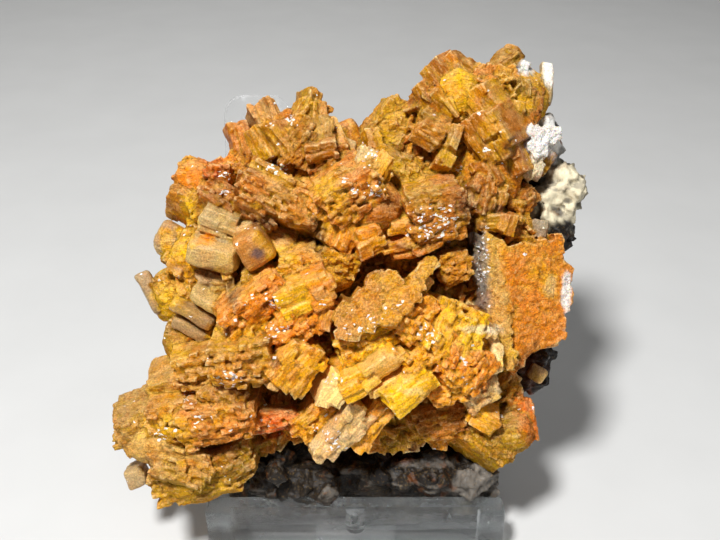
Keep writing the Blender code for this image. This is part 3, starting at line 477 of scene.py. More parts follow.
class Heap:
    """Closed blocks that lie through each other, with what each one looks like."""

    def __init__(self, seed):
        self.chance = random.Random(seed)
        self.corners = []
        self.faces = []
        self.owner = []
        self.looks = []
        self.count = 0
        self.piece = 0
        # How much lighter or darker the tones are made; for the crystal groups this is partly painted
        # light.
        self.light = 1.0

    def add(self, points, faces, look):
        self.corners.append(points)
        self.faces += [[i + self.count for i in face] for face in faces]
        self.owner += [len(self.looks)] * len(faces)
        self.looks.append(look)
        self.count += len(points)

    def tinted(self, tone, spread=0.22):
        """The tone, a little lighter, darker or more like another one."""
        light = self.light * (1.0 + self.chance.uniform(-spread, spread))
        other = linear(self.chance.choice(["honey", "sand", "tan", "orange", "yellow", "amber"]))
        share = self.chance.uniform(0, 0.4)
        return [light * ((1 - share) * c + share * o) for c, o in zip(linear(tone), other)]

    def block(self, axes, middle, size, look):
        """One crystal: a box with slightly uneven corners."""
        chance = self.chance
        uneven = np.array([[chance.uniform(-1, 1) for _ in range(3)] for _ in range(8)])
        local = BOX_SIGNS * np.array(size) + uneven * np.minimum(0.22, np.array(size) * 0.16)
        points = local @ np.array(axes).T + np.array(middle)
        self.add(points, BOX_FACES.tolist(), look)

    def bar(self, axes, middle, size, look):
        """A waxy crystal: a box with well rounded edges and a slightly wavy skin."""
        half = np.array(size) / 2
        local = BAR_POINTS * half
        local += 0.05 * half.min() * noise(BAR_POINTS * 1.7 + len(self.looks), 1.0, 61)[:, None]
        self.add(local @ np.array(axes).T + np.array(middle), BAR_FACES, look)

    def waxy_book(self, book):
        """A few thick rounded crystals side by side, of uneven length and height."""
        chance = self.chance
        style = STYLES[book.style]
        depth = (book.front - BOOK_BACK) / math.cos(math.radians(book.lean))
        start = seen_at(book.x, book.up, book.front)
        count = max(1, round(book.stack / style.pitch))
        thick = book.stack / count
        for number in range(count):
            across = (number + 0.5) / count - 0.5
            axes = stack_axes(book.run + chance.uniform(-4, 4), book.lean + chance.uniform(-5, 5),
                              book.dip + chance.uniform(-4, 4))
            reach = book.length * chance.uniform(0.82, 1.04)
            shift = chance.uniform(-0.08, 0.08) * book.length
            sunk = chance.uniform(0, style.uneven) + 1.2 * across * across
            middle = start + axes @ Vector((shift, across * book.stack, -depth / 2 - sunk))
            look = Look(self.tinted(book.tone), axes, start, style.grain, style.sugar,
                        style.gloss, self.piece)
            self.bar(axes, middle, (reach, thick * chance.uniform(1.05, 1.25), depth), look)

    def book(self, book):
        """Thin plates side by side, each broken into bricks of uneven height."""
        if book.style == "smooth":
            self.waxy_book(book)
            return
        chance = self.chance
        style = STYLES[book.style]
        depth = (book.front - BOOK_BACK) / math.cos(math.radians(book.lean))
        start = seen_at(book.x, book.up, book.front)
        base = stack_axes(book.run, book.lean, book.dip)
        plates = max(1, round(book.stack / style.pitch))
        thick = book.stack / plates
        fan = chance.uniform(-style.fan, style.fan)
        drift = 0.0
        for number in range(plates):
            across = (number + 0.5) / plates - 0.5
            turn = fan * across + chance.uniform(-2.0, 2.0)
            axes = stack_axes(book.run + turn, book.lean + chance.uniform(-3, 3), book.dip)
            reach = book.length * (1 - 0.5 * across * across) * chance.uniform(0.8, 1.06)
            drift = 0.6 * drift + chance.uniform(-0.05, 0.05) * book.length
            lowered = chance.uniform(0, style.uneven) * 0.8
            foot = start + base @ Vector((0, across * book.stack, 0))

            def sunk_at(along):
                place = along / book.length
                return lowered + style.dome * (4 * place * place + 2.4 * across * across)

            def add(along, wide, tall, sunk, tilt):
                middle = foot + axes @ Vector((along, 0, -depth / 2 - sunk))
                look = Look(self.tinted(book.tone), base, start, style.grain, style.sugar,
                            style.gloss, self.piece)
                self.block(axes @ tilt, middle, (wide, tall, depth), look)

            for part in range(BACKING_BRICKS):
                along = ((part + 0.5) / BACKING_BRICKS - 0.5) * reach + drift
                sunk = sunk_at(along) + style.uneven * 0.8 + 0.25
                add(along, reach / BACKING_BRICKS + 0.3, thick * 1.25, sunk, Matrix.Identity(3))
            along = drift - reach / 2
            while along < drift + reach / 2 - 0.2:
                wide = min(style.brick * chance.uniform(0.5, 1.6), drift + reach / 2 - along)
                tilt = stack_axes(chance.uniform(-4, 4), chance.uniform(-5, 5), chance.uniform(-5, 5))
                sunk = sunk_at(along + wide / 2) + chance.uniform(0, style.uneven)
                tall = thick * chance.uniform(0.8, 1.25)
                add(along + wide / 2, wide + 0.2, tall, sunk, tilt)
                along += wide

    def sheet(self, sheet):
        """A thick plate that lies in the face: small grains within its outline."""
        chance = self.chance
        low_x = min(x for x, _ in sheet.outline)
        high_x = max(x for x, _ in sheet.outline)
        low_up = min(up for _, up in sheet.outline)
        high_up = max(up for _, up in sheet.outline)
        for row in range(round((high_up - low_up) / GRAIN_STEP) + 1):
            for column in range(round((high_x - low_x) / GRAIN_STEP) + 1):
                x = low_x + column * GRAIN_STEP + chance.uniform(-0.35, 0.35)
                up = low_up + row * GRAIN_STEP + chance.uniform(-0.35, 0.35)
                if not inside(x, up, sheet.outline):
                    continue
                out = sheet.front + sheet.slope_x * (x - sheet.x) + sheet.slope_up * (up - sheet.up)
                out += chance.uniform(-0.2, 0.12)
                thick = out - BOOK_BACK
                axes = stack_axes(chance.uniform(0, 90), chance.uniform(-4, 4), chance.uniform(-4, 4))
                middle = seen_at(x, up, out) - axes @ Vector((0, 0, thick / 2))
                size = (chance.uniform(1.5, 2.4), chance.uniform(1.5, 2.4), thick)
                look = Look(self.tinted(sheet.tone, 0.08), axes, middle, 0.12, 1.0, 0.0, self.piece)
                self.block(axes, middle, size, look)

    def lobe(self, lobe):
        """A rounded mass of fine crystals."""
        bm = bmesh.new()
        bmesh.ops.create_icosphere(bm, subdivisions=3, radius=1.0)
        middle = seen_at(lobe.x, lobe.up, lobe.out)
        half = np.array([lobe.half_x, lobe.half_up, lobe.half_out])
        points = np.array([v.co for v in bm.verts])
        points = points * half * (1 + 0.06 * noise(points * 4.0, 1.0, len(self.looks))[:, None])
        faces = [[v.index for v in f.verts] for f in bm.faces]
        bm.free()
        look = Look(linear(lobe.tone), Matrix.Identity(3), middle, 0.15, 0.6, 0.0, self.piece)
        self.add(points + np.array(middle), faces, look)


def lattice(cells, seed):
    """One random value from -1 to 1 for each whole-numbered cell."""
    mixed = cells[:, 0] * 374761393 + cells[:, 1] * 668265263 + cells[:, 2] * 2147483647
    mixed = (mixed + seed * 974711) & 0x7FFFFFFF
    mixed = ((mixed ^ (mixed >> 13)) * 1274126177) & 0x7FFFFFFF
    mixed = mixed ^ (mixed >> 16)
    return (mixed & 0xFFFF) / 32767.5 - 1.0


def noise(points, size, seed):
    """Smooth random values from -1 to 1, with lumps of the given size."""
    scaled = points / size
    cells = np.floor(scaled).astype(np.int64)
    part = scaled - cells
    part = part * part * (3 - 2 * part)
    total = np.zeros(len(points))
    for corner in np.ndindex(2, 2, 2):
        weight = np.prod(np.where(corner, part, 1 - part), axis=1)
        total += weight * lattice(cells + np.array(corner), seed)
    return total


def bent(points, size, seed):
    """A smooth random shift for each point."""
    return np.stack([noise(points, size, seed + axis) for axis in range(3)], axis=1)


def put_in_scene(name, data):
    thing = bpy.data.objects.new(name, data)
    bpy.context.scene.collection.objects.link(thing)
    return thing


def fused(heap, grid, kept):
    """One closed mesh round all the blocks of a heap, with a share of its faces kept."""
    mesh = bpy.data.meshes.new("heap")
    mesh.from_pydata(np.concatenate(heap.corners).tolist(), [], heap.faces)
    guide = put_in_scene("heap", mesh)
    step = guide.modifiers.new("fuse", "REMESH")
    step.mode = "VOXEL"
    step.voxel_size = grid
    thin = guide.modifiers.new("thin", "DECIMATE")
    thin.ratio = kept
    thin.use_collapse_triangulate = True
    evaluated = guide.evaluated_get(bpy.context.evaluated_depsgraph_get())
    result = bpy.data.meshes.new_from_object(evaluated)
    bpy.data.objects.remove(guide, do_unlink=True)
    return result


def read(rows, key, width, kind=float):
    """One property of a mesh's points, edges or triangles, a row for each."""
    values = np.empty(len(rows) * width, dtype=kind)
    rows.foreach_get(key, values)
    return values.reshape(-1, width)


def smoothed(points, edges, rounds, share=0.5):
    """Points moved towards the middle of their neighbours."""
    total = len(points)
    near = np.bincount(edges.ravel(), minlength=total)[:, None]
    for _ in range(rounds):
        pull = np.empty_like(points)
        for axis in range(3):
            values = points[:, axis]
            pull[:, axis] = np.bincount(edges[:, 0], values[edges[:, 1]], total)
            pull[:, axis] += np.bincount(edges[:, 1], values[edges[:, 0]], total)
        points = points + share * (pull / near - points)
    return points


def set_attribute(mesh, name, kind, values):
    layer = mesh.attributes.new(name, kind, "POINT")
    key = {"FLOAT": "value", "FLOAT_VECTOR": "vector", "FLOAT_COLOR": "color"}[kind]
    layer.data.foreach_set(key, np.ascontiguousarray(values, dtype=np.float32).ravel())


def near_spots(points, spots, seed):
    """How strongly each point lies in one of the spots, with ragged edges."""
    seen = points[:, :2] / (1.0 - points[:, 2:] / VIEW_DISTANCE)
    ragged = 1.0 + 0.35 * noise(points, 1.3, seed) + 0.2 * noise(points, 0.6, seed + 1)
    weights = []
    for spot in spots:
        aside = (seen[:, 0] - spot.x) / spot.half_x
        above = (seen[:, 1] - spot.up) / spot.half_up
        weights.append(np.clip(2.0 - 1.6 * np.sqrt(aside ** 2 + above ** 2) * ragged, 0, 1))
    return weights


def keep_clear_of_stand(points):
    """Move points, in metres in the frame, out of what the stand takes up."""
    low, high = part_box("display_stand")
    gap = STAND_GAP
    middle = (low[0] + high[0]) / 2
    foot = np.array([middle, high[1] - (BASE_BACK - PLATE_FOOT) * MM, low[2] + BASE_THICK * MM])
    out = np.array([0.0, -math.cos(PLATE_LEAN), math.sin(PLATE_LEAN)])
    behind = np.minimum((points - foot) @ out - gap, 0.0)
    points = points - behind[:, None] * out
    points[:, 2] = np.maximum(points[:, 2], foot[2] + gap)
    front = low[1] - gap
    back = low[1] + END_BLOCK_DEPTH * MM + gap
    top = low[2] + LIP_TOP * MM + gap
    within = (np.abs(points[:, 0] - middle) < (high[0] - low[0]) / 2 + gap) & (points[:, 2] < top)
    within &= (points[:, 1] > front) & (points[:, 1] < back)
    rise = top - points[:, 2]
    ahead = points[:, 1] - front
    astern = back - points[:, 1]
    least = np.minimum(rise, np.minimum(ahead, astern))
    points[:, 2] = np.where(within & (least == rise), top, points[:, 2])
    points[:, 1] = np.where(within & (least == ahead), front, points[:, 1])
    points[:, 1] = np.where(within & (least == astern), back, points[:, 1])
    return points


def finish_stone(heap, names, grid, kept, look, node):
    """Fuse a heap, roughen it, give each point the tone and grain of its crystal, and
    part the mesh into its named pieces."""
    mesh = fused(heap, grid, kept)
    points = read(mesh.vertices, "co", 3)
    edges = read(mesh.edges, "vertices", 2, np.int32)
    tree = BVHTree.FromPolygons([Vector(p) for p in np.concatenate(heap.corners)], heap.faces)
    found = [tree.find_nearest(Vector(p))[2] for p in points]
    owner = np.array(heap.owner)[np.array(found)]
    looks = heap.looks
    tones = np.array([each.tone for each in looks])[owner]
    axes = np.array([np.array(each.axes) for each in looks])[owner]
    starts = np.array([np.array(each.start) for each in looks])[owner]
    grains = np.array([each.grain for each in looks])[owner]
    finish_and_glints = np.array([[each.sugar, each.gloss, 0.0] for each in looks])[owner]
    piece_of = np.array([each.piece for each in looks])[owner]

    points = smoothed(points, edges, 1, 0.25)
    mesh.vertices.foreach_set("co", points.ravel())
    mesh.update()
    facing = read(mesh.vertices, "normal", 3)
    near = np.einsum("ij,ij->i", smoothed(points, edges, 5) - points, facing)
    wide = np.einsum("ij,ij->i", smoothed(points, edges, 40) - points, facing)
    local = np.einsum("ijk,ij->ik", axes, points - starts)
    points = points + bent(points, 5.0, 41) * 0.45 + bent(points, 2.0, 51) * 0.14
    grain = noise(points, 0.9, 3) * 0.9 + noise(points, 0.45, 4) * 0.8
    layers = noise(local * np.array([0.3, 1.0, 0.4]), 0.5, 5)
    points = points + facing * (grains * (grain + 0.7 * layers))[:, None]

    height = points[:, 2].copy()
    tones = smoothed(tones, edges, 2)
    finish_and_glints = smoothed(finish_and_glints, edges, 3)
    # Lay the stains and the painted shade over the tones.
    for stain_and_shade, weight in zip(STAINS_AND_SHADE, near_spots(points, STAINS_AND_SHADE, 21)):
        share = (weight * stain_and_shade.share)[:, None]
        tones = tones * (1 - share) + np.array(linear(stain_and_shade.tone)) * share
    # How strongly each point lies in a spot of painted glints.
    finish_and_glints[:, 2] = np.max(near_spots(points, GLINTS, 31), axis=0)
    to_world = np.array(TO_WORLD)
    points = keep_clear_of_stand(points @ to_world[:3, :3].T + to_world[:3, 3])
    mesh.vertices.foreach_set("co", points.ravel())
    mesh.update()
    facing = read(mesh.vertices, "normal", 3)
    white = np.ones((len(points), 1))
    # How far each point lies in a crease (cavity) or a wide hollow, and how much it faces up: the
    # material paints shade into creases and hollows, and dusting with painted light from above onto
    # faces that face up.
    layers_of = {
        "tone": ("FLOAT_COLOR", np.hstack([tones, white])),
        "cavity": ("FLOAT", np.clip(near * 3.5, -1, 1)),
        "dust_and_top_light": ("FLOAT", np.clip(facing[:, 2], 0, 1)),
        "hollow": ("FLOAT", np.clip(wide, -1, 1)),
        "layers": ("FLOAT_VECTOR", local),
        "finish_and_glints": ("FLOAT_VECTOR", finish_and_glints),
    }
    mesh.calc_loop_triangles()
    corners = read(mesh.loop_triangles, "vertices", 3, np.int32)
    behind = (piece_of == 0) & (height < CRUST_BACK / 3)
    piece_of = np.where(behind, len(names) - 1, piece_of)
    for number, name in enumerate(names):
        chosen = corners[piece_of[corners[:, 0]] == number]
        kept_points, renumbered = np.unique(chosen, return_inverse=True)
        part = bpy.data.meshes.new(name)
        part.from_pydata(points[kept_points].tolist(), [], renumbered.reshape(-1, 3).tolist())
        for key, (kind, values) in layers_of.items():
            set_attribute(part, key, kind, values[kept_points])
        piece = add_piece(name, part, look, node)
        part.normals_split_custom_set_from_vertices(facing[kept_points].tolist())
    bpy.data.meshes.remove(mesh)


def add_piece(name, mesh, look, node):
    """Put a finished mesh in the scene, in place of its solid."""
    mesh.name = name
    mesh.materials.clear()
    mesh.materials.append(look)
    piece = put_in_scene(name, mesh)
    mesh.shade_smooth()
    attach(piece, "root")
    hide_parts(node)
    return piece


class Nodes:
    """A short way to add shader nodes and to link them."""

    def __init__(self, name):
        self.material = bpy.data.materials.new(name)
        self.material.use_nodes = True
        self.tree = self.material.node_tree
        self.shader = self.tree.nodes["Principled BSDF"]

    def add(self, kind, values=None, **settings):
        node = self.tree.nodes.new(kind)
        for key, value in settings.items():
            setattr(node, key, value)
        for key, value in (values or {}).items():
            self.put(node.inputs[key], value)
        return node

    def put(self, socket, value):
        if isinstance(value, bpy.types.NodeSocket):
            self.tree.links.new(value, socket)
        else:
            socket.default_value = value

    def surface(self, values):
        for key, value in values.items():
            self.put(self.shader.inputs[key], value)

    def attribute(self, name, output="Fac"):
        return self.add("ShaderNodeAttribute", attribute_name=name).outputs[output]

    def math(self, operation, *values):
        node = self.add("ShaderNodeMath", operation=operation)
        for socket, value in zip(node.inputs, values):
            self.put(socket, value)
        return node.outputs[0]

    def ramp(self, value, low, high):
        """0 below low and 1 above high."""
        limits = {"Value": value, "From Min": low, "From Max": high}
        return self.add("ShaderNodeMapRange", limits).outputs["Result"]

    def product(self, first, second):
        return self.math("MULTIPLY", first, second)

    def layer(self, colour, mask, most, tone, darker=1.0):
        """The colour, with up to a share of a tone over it where the mask is 1."""
        return self.mix(self.product(mask, most), colour, opaque(tone, darker))

    def times(self, vector, factors):
        values = {0: vector, 1: factors}
        return self.add("ShaderNodeVectorMath", values, operation="MULTIPLY").outputs[0]

    def noise(self, vector, scale, detail=4.0):
        values = {"Vector": vector, "Scale": scale, "Detail": detail}
        return self.add("ShaderNodeTexNoise", values).outputs["Fac"]

    def mix(self, share, first, second, blend="MIX"):
        node = self.add("ShaderNodeMix", data_type="RGBA", blend_type=blend)
        self.put(node.inputs["Factor"], share)
        self.put(node.inputs["A"], first)
        self.put(node.inputs["B"], second)
        return node.outputs["Result"]

    def bump(self, height, strength, distance, normal=None):
        values = {"Height": height, "Strength": strength, "Distance": distance}
        if normal is not None:
            values["Normal"] = normal
        return self.add("ShaderNodeBump", values).outputs["Normal"]


def opaque(name, darker=1.0):
    return [c * darker for c in linear(name)] + [1.0]


def crystal_look():
    """Dusty barite: the crystal's tone, cracks between its bricks, up faces dusted and given painted
    light from above, painted shade in creases and hollows, painted highlights on edges and grains
    painted near white as glints.
    """
    nodes = Nodes("barite_dusty")
    tone = nodes.attribute("tone", "Color")
    cavity = nodes.attribute("cavity")
    hollow = nodes.attribute("hollow")
    layers = nodes.attribute("layers", "Vector")
    finish_and_glints = nodes.add("ShaderNodeSeparateXYZ", {"Vector": nodes.attribute("finish_and_glints", "Vector")})
    sugar, gloss, glint = finish_and_glints.outputs
    place = nodes.add("ShaderNodeTexCoord").outputs["Object"]

    flat = nodes.times(layers, (0.4, 2.4, 0.5))
    fine = nodes.noise(flat, 1.0, 5.0)
    wobble = nodes.add("ShaderNodeTexNoise", {"Vector": layers, "Scale": 0.9, "Detail": 3.0})
    wobble = nodes.times(wobble.outputs["Color"], (0.9, 0.5, 0.9))
    bent = nodes.add("ShaderNodeVectorMath", {0: layers, 1: wobble})
    bricks = nodes.times(bent.outputs[0], (0.95, 2.4, 0.6))
    crack = nodes.add("ShaderNodeTexVoronoi", {"Vector": bricks, "Scale": 1.0},
                      feature="DISTANCE_TO_EDGE")
    crack = nodes.ramp(crack.outputs["Distance"], 0.06, 0.0)
    broken = nodes.ramp(nodes.noise(place, 800.0, 2.0), 0.5, 0.66)
    crack = nodes.product(crack, broken)
    layered = nodes.ramp(sugar, -0.02, 0.2)
    cells = nodes.add("ShaderNodeTexVoronoi", {"Vector": bricks, "Scale": 1.0}).outputs["Color"]
    cell = nodes.add("ShaderNodeSeparateColor", {"Color": cells}).outputs["Red"]
    grain = nodes.noise(place, 3000.0, 3.0)
    pits = nodes.noise(place, 1500.0, 3.0)
    patches = nodes.noise(place, 170.0, 4.0)
    clouds = nodes.noise(place, 420.0, 3.0)

    # Faces that face up: partly dusted, and the peach laid on them also paints in light from above.
    dust_and_top_light = nodes.ramp(nodes.attribute("dust_and_top_light"), 0.2, 0.95)
    dust_and_top_light = nodes.product(dust_and_top_light, nodes.ramp(clouds, 0.35, 0.6))
    colour = nodes.layer(tone, nodes.ramp(patches, 0.5, 0.64), 0.35, "orange")
    colour = nodes.layer(colour, nodes.ramp(patches, 0.48, 0.34), 0.4, "yellow")
    richer = nodes.add("ShaderNodeHueSaturation", {"Color": colour, "Saturation": 1.12})
    colour = richer.outputs["Color"]
    colour = nodes.layer(colour, dust_and_top_light, 0.4, "peach")
    colour = nodes.layer(colour, nodes.ramp(cell, 0.6, 1.0), 0.3, "peach")
    colour = nodes.layer(colour, nodes.ramp(cell, 0.35, 0.0), 0.3, "rust")
    colour = nodes.layer(colour, nodes.ramp(fine, 0.52, 0.72), 0.5, "brown")
    speckle = nodes.product(nodes.ramp(pits, 0.52, 0.68), nodes.ramp(sugar, -0.35, 1.0))
    colour = nodes.layer(colour, speckle, 0.5, "brown")
    powder = nodes.product(nodes.ramp(hollow, 0.05, 0.4), nodes.ramp(clouds, 0.35, 0.55))
    colour = nodes.layer(colour, powder, 0.6, "sulphur")
    colour = nodes.layer(colour, nodes.product(crack, layered), 0.45, "umber")
    # Painted shade: umber laid into creases and crevices.
    colour = nodes.layer(colour, nodes.ramp(cavity, 0.06, 0.6), 0.8, "umber", 0.7)
    # Pale on edges that stand out: partly worn, broken edges and partly painted highlights on the
    # crests.
    edge = nodes.product(nodes.ramp(cavity, -0.16, -0.6), nodes.ramp(clouds, 0.36, 0.56))
    colour = nodes.layer(colour, edge, 0.85, "pale")
    # Painted shade: umber deep in the wide hollows.
    colour = nodes.layer(colour, nodes.ramp(hollow, 0.12, 0.8), 0.62, "umber")
    parts = nodes.add("ShaderNodeSeparateColor", {"Color": tone}).outputs
    pallor = nodes.math("DIVIDE", parts["Blue"], nodes.math("MAXIMUM", parts["Red"], 0.01))
    colour = nodes.mix(nodes.product(nodes.ramp(pallor, 0.1, 0.45), 0.85), colour, tone)
    mottle = nodes.math("MULTIPLY_ADD", nodes.ramp(grain, 0.35, 0.65), 0.55, 0.72)
    mottle = nodes.add("ShaderNodeCombineColor", {"Red": mottle, "Green": mottle, "Blue": mottle})
    colour = nodes.mix(1.0, colour, mottle.outputs["Color"], "MULTIPLY")
    # Painted highlights: a few cells, more of them in the glint spots, painted near white as glints;
    # they also stand for the pearly white of freshly broken faces.
    glint_cells = {"Vector": nodes.times(place, (1, 1, 1.6)), "Scale": 1700.0}
    glint_cells = nodes.add("ShaderNodeTexVoronoi", glint_cells)
    glint_cell = nodes.add("ShaderNodeSeparateColor", {"Color": glint_cells.outputs["Color"]}).outputs["Green"]
    limit = nodes.math("SUBTRACT", 0.998, nodes.product(glint, 0.2))
    bright = nodes.math("GREATER_THAN", glint_cell, limit)
    colour = nodes.layer(colour, bright, 0.9, "white")

    dull = nodes.math("SUBTRACT", 0.76, nodes.product(gloss, 0.5))
    rough = nodes.math("SUBTRACT", dull, nodes.product(bright, 0.35))
    height = nodes.product(nodes.math("SUBTRACT", nodes.product(cell, 0.5), crack), layered)
    normal = nodes.bump(height, 0.8, 0.0004)
    normal = nodes.bump(fine, 0.5, 0.0003, normal)
    sugary = nodes.ramp(sugar, -0.3, 1.0)
    normal = nodes.bump(nodes.product(pits, sugary), 0.7, 0.0004, normal)
    normal = nodes.bump(nodes.product(grain, sugary), 0.7, 0.0004, normal)

    nodes.surface({
        "Base Color": colour, "Roughness": rough, "Normal": normal, "Specular IOR Level": 0.25,
        "Subsurface Weight": 0.25, "Subsurface Radius": (1.0, 0.5, 0.2),
        "Subsurface Scale": 0.001,
    })
    return nodes.material


def inside(x, y, outline):
    """Whether a point lies within an outline."""
    hit = False
    for (x1, y1), (x2, y2) in zip(outline, outline[1:] + outline[:1]):
        if (y1 > y) != (y2 > y) and x < x1 + (y - y1) * (x2 - x1) / (y2 - y1):
            hit = not hit
    return hit


def add_ground(heap):
    """The ground of the crust: a slab full of small crystals that point every way."""
    chance = heap.chance
    middle_out = (CRUST_CORE_OUT + CRUST_BACK) / 2
    thick = CRUST_CORE_OUT - CRUST_BACK
    for row in range(-46, 46, GROUND_STEP):
        for column in range(-46, 46, GROUND_STEP):
            x = column + chance.uniform(-0.4, 0.4)
            up = row + chance.uniform(-0.4, 0.4)
            if not inside(x, up, CRUST_OUTLINE):
                continue
            tone = heap.tinted(chance.choice(["olive", "ochre", "brown", "tan", "amber"]))
            axes = stack_axes(chance.uniform(0, 90), 0, 0)
            middle = seen_at(x, up, middle_out + chance.uniform(-0.8, 0.2))
            look = Look(tone, axes, middle, 0.15, 0.8, 0.0, heap.piece)
            heap.block(axes, middle, (3.4, 3.4, thick), look)
            axes = stack_axes(chance.uniform(0, 180), chance.uniform(-50, 50), chance.uniform(-30, 30))
            middle = seen_at(x, up, CRUST_CORE_OUT + chance.uniform(-0.5, 1.2))
            size = (chance.uniform(1.6, 3.2), chance.uniform(0.5, 1.2), chance.uniform(1.5, 3.0))
            heap.block(axes, middle, size, look)
    for lobe in LOBES:
        heap.lobe(lobe)


# The groups of crystals: name, books, flat plates and how light their tones are made.
# How light a group is made is partly its own tone and partly painted light: the protruding middle
# groups lighter, where the light falls most, and the crown, left, lower left and upper right darker.
Group = namedtuple("Group", "name books sheets light")
GROUPS = [
    Group("crystals_crown", CROWN, [], 0.56),
    Group("crystals_left", LEFT, [], 0.54),
    Group("crystals_fan", FAN, [], 0.98),
    Group("crystals_lower_left", LOWER_LEFT, [], 0.68),
    Group("crystals_middle", MIDDLE, MIDDLE_SHEETS, 0.92),
    Group("crystals_lower_middle", LOWER_MIDDLE, [], 1.1),
    Group("crystals_upper_right", UPPER_RIGHT, [], 0.48),
    Group("crystals_right", [], RIGHT_SHEETS, 0.95),
]


def build_crust():
    heap = Heap(SEED)
    names = ["crystal_ground"]
    heap.light = 0.8
    add_ground(heap)
    for group in GROUPS:
        heap.piece = len(names)
        heap.light = group.light
        names.append(group.name)
        for row in group.books:
            heap.book(Book(*row))
        for sheet in group.sheets:
            heap.sheet(sheet)
    names.append("crystal_underside")
    finish_stone(heap, names, GRID, KEPT, CRYSTAL, "barite_crystals")


def rock_look():
    """Dull broken rock, near black, with grey and white seams and rusty stains, and painted shade in
    its recesses.
    """
    nodes = Nodes("rough_rock")
    tone = nodes.attribute("tone", "Color")
    cavity = nodes.attribute("cavity")
    place = nodes.add("ShaderNodeTexCoord").outputs["Object"]
    grain = nodes.noise(place, 2400.0, 4.0)
    patches = nodes.noise(place, 170.0, 5.0)
    seams = nodes.noise(nodes.times(place, (0.5, 1.0, 1.6)), 260.0, 5.0)
    stains = nodes.noise(place, 330.0, 3.0)
    colour = nodes.layer(tone, nodes.ramp(patches, 0.45, 0.6), 0.75, "dark")
    colour = nodes.layer(colour, nodes.ramp(seams, 0.56, 0.64), 0.6, "grey")
    colour = nodes.layer(colour, nodes.ramp(stains, 0.6, 0.7), 0.4, "rust", 0.5)
    colour = nodes.layer(colour, nodes.ramp(grain, 0.55, 0.75), 0.3, "sand", 0.6)
    # Painted shade: the rock darker in its recesses.
    colour = nodes.layer(colour, nodes.ramp(cavity, 0.05, 0.6), 0.7, "dark", 0.4)
    normal = nodes.bump(seams, 0.4, 0.0005)
    normal = nodes.bump(grain, 0.5, 0.0003, normal)
    nodes.surface({
        "Base Color": colour, "Roughness": nodes.ramp(grain, -0.2, 1.1), "Normal": normal,
        "Specular IOR Level": 0.3,
    })
    return nodes.material


def build_rock():
    """The rock of the frame, broken up finely and stained."""
    from_world = TO_WORLD.inverted()
    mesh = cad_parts["matrix_rock"].data.copy()
    mesh.transform(from_world)
    points = read(mesh.vertices, "co", 3)
    faces = [list(face.vertices) for face in mesh.polygons]
    heap = Heap(SEED + 40)
    look = Look(linear("rock"), Matrix.Identity(3), Vector(), 0.34, 0.0, 0.0, 0)
    heap.add(points, faces, look)
    for lump in ROCK_LUMPS:
        chance = heap.chance
        half = (lump.half_x, lump.half_up, lump.half_out)
        for _ in range(LUMP_PIECES):
            side = Vector([chance.gauss(0, 1) for _ in range(3)]).normalized()
            reach = Vector([side[i] * half[i] * 0.85 for i in range(3)])
            axes = stack_axes(chance.uniform(0, 180), chance.uniform(-60, 60), chance.uniform(-60, 60))
            size = [chance.uniform(1.5, 4.2) for _ in range(3)]
            middle = seen_at(lump.x, lump.up, lump.out)
            look = Look(linear(lump.tone), axes, middle, 0.22, 0.0, 0.0, 0)
            heap.block(axes, middle + reach, size, look)
    finish_stone(heap, ["rock_slab"], ROCK_GRID, ROCK_KEPT, ROCK, "matrix_rock")


def clear_look():
    """Clear moulded plastic, a little scratched, with painted reflection on its rims."""
    nodes = Nodes("clear_moulding")
    place = nodes.add("ShaderNodeTexCoord").outputs["Object"]
    scuffs = nodes.noise(place, 420.0, 6.0)
    rim = nodes.attribute("rim")
    # Painted reflection: the rims get a darker, bluer tint and are less see-through than the broad
    # faces.
    tint = nodes.mix(rim, (0.97, 0.98, 0.985, 1.0), (0.80, 0.87, 0.90, 1.0))
    seen = nodes.add("ShaderNodeMapRange", {"Value": rim, "To Min": 0.45, "To Max": 0.85})
    rough = nodes.add("ShaderNodeMapRange", {"Value": scuffs, "From Min": 0.45, "From Max": 0.7,
                                             "To Min": 0.03, "To Max": 0.3})
    scratches = nodes.noise(nodes.times(place, (1.0, 0.3, 3.0)), 900.0, 3.0)
    nodes.surface({
        "Base Color": tint, "Transmission Weight": 1.0, "IOR": 1.49,
        "Alpha": seen.outputs["Result"], "Roughness": rough.outputs["Result"],
        "Normal": nodes.bump(nodes.ramp(scratches, 0.6, 0.7), 0.35, 0.0002),
    })
    return nodes.material


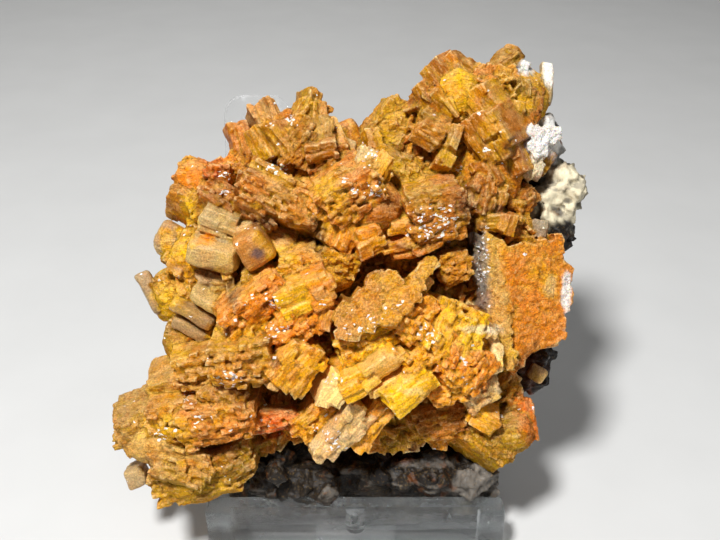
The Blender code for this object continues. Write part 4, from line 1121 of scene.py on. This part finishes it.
def build_stand():
    """The stand of the frame with softened edges."""
    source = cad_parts["display_stand"]
    mesh = source.data.copy()
    bm = bmesh.new()
    bm.from_mesh(mesh)
    bmesh.ops.remove_doubles(bm, verts=bm.verts, dist=0.00001)
    bmesh.ops.dissolve_limit(bm, angle_limit=math.radians(1.0), verts=bm.verts, edges=bm.edges)
    sharp = [e for e in bm.edges if len(e.link_faces) == 2 and e.calc_face_angle() > math.radians(30)]
    bmesh.ops.bevel(bm, geom=sharp, offset=SOFT_EDGE, segments=3, profile=0.5, affect="EDGES",
                    clamp_overlap=True)
    # The moulding's narrow sides gather light, so they show more than its broad faces; this is painted
    # in as a darker, bluer tint that lets less through.
    rim = bm.faces.layers.float.new("rim")
    for face in bm.faces:
        width = 2 * face.calc_area() / max(face.calc_perimeter(), 1e-9)
        face[rim] = 1.0 if width < RIM_WIDTH * MM else 0.0
    bm.to_mesh(mesh)
    bm.free()
    add_piece("clear_stand", mesh, CLEAR, "display_stand")


def floor():
    """A pale table top far larger than the specimen."""
    mesh = bpy.data.meshes.new("table")
    bm = bmesh.new()
    bmesh.ops.create_grid(bm, x_segments=1, y_segments=1, size=3.0)
    bm.to_mesh(mesh)
    bm.free()
    nodes = Nodes("pale_table")
    place = nodes.add("ShaderNodeTexCoord").outputs["Object"]
    tint = nodes.mix(nodes.noise(place, 40.0), (0.60, 0.60, 0.59, 1), (0.66, 0.66, 0.65, 1))
    nodes.surface({"Base Color": tint, "Roughness": 0.7})
    mesh.materials.append(nodes.material)
    put_in_scene("table", mesh)


def add_light(name, place, aim, size, power):
    data = bpy.data.lights.new(name, "AREA")
    data.shape = "DISK"
    data.size = size
    data.energy = power
    lamp = put_in_scene(name, data)
    lamp.location = place
    lamp.rotation_euler = (aim - place).to_track_quat("-Z", "Y").to_euler()


def light_and_camera():
    aim = TO_WORLD @ Vector((0, 0, 0))
    add_light("key", aim + Vector((-0.14, -0.24, 0.48)), aim, 0.10, 4.7)
    add_light("fill", aim + Vector((0.45, -0.35, 0.25)), aim, 0.5, 0.36)
    add_light("back", aim + Vector((-0.1, 0.5, 0.4)), aim, 0.4, 0.6)
    world = bpy.data.worlds.new("studio")
    world.use_nodes = True
    world.node_tree.nodes["Background"].inputs["Color"].default_value = (1.0, 1.0, 1.0, 1)
    world.node_tree.nodes["Background"].inputs["Strength"].default_value = 0.115
    bpy.context.scene.world = world
    bpy.context.scene.view_settings.view_transform = "Standard"

    data = bpy.data.cameras.new("photo")
    data.lens = 45.0
    data.sensor_width = 36.0
    data.clip_start = 0.01
    camera = put_in_scene("photo", data)
    camera.location = TO_WORLD @ Vector((0, 0, VIEW_DISTANCE))
    camera.rotation_euler = (math.pi / 2 - FACE_TILT, 0, 0)
    bpy.context.scene.camera = camera


CRYSTAL = crystal_look()
ROCK = rock_look()
CLEAR = clear_look()
build_crust()
build_rock()
build_stand()
floor()
light_and_camera()
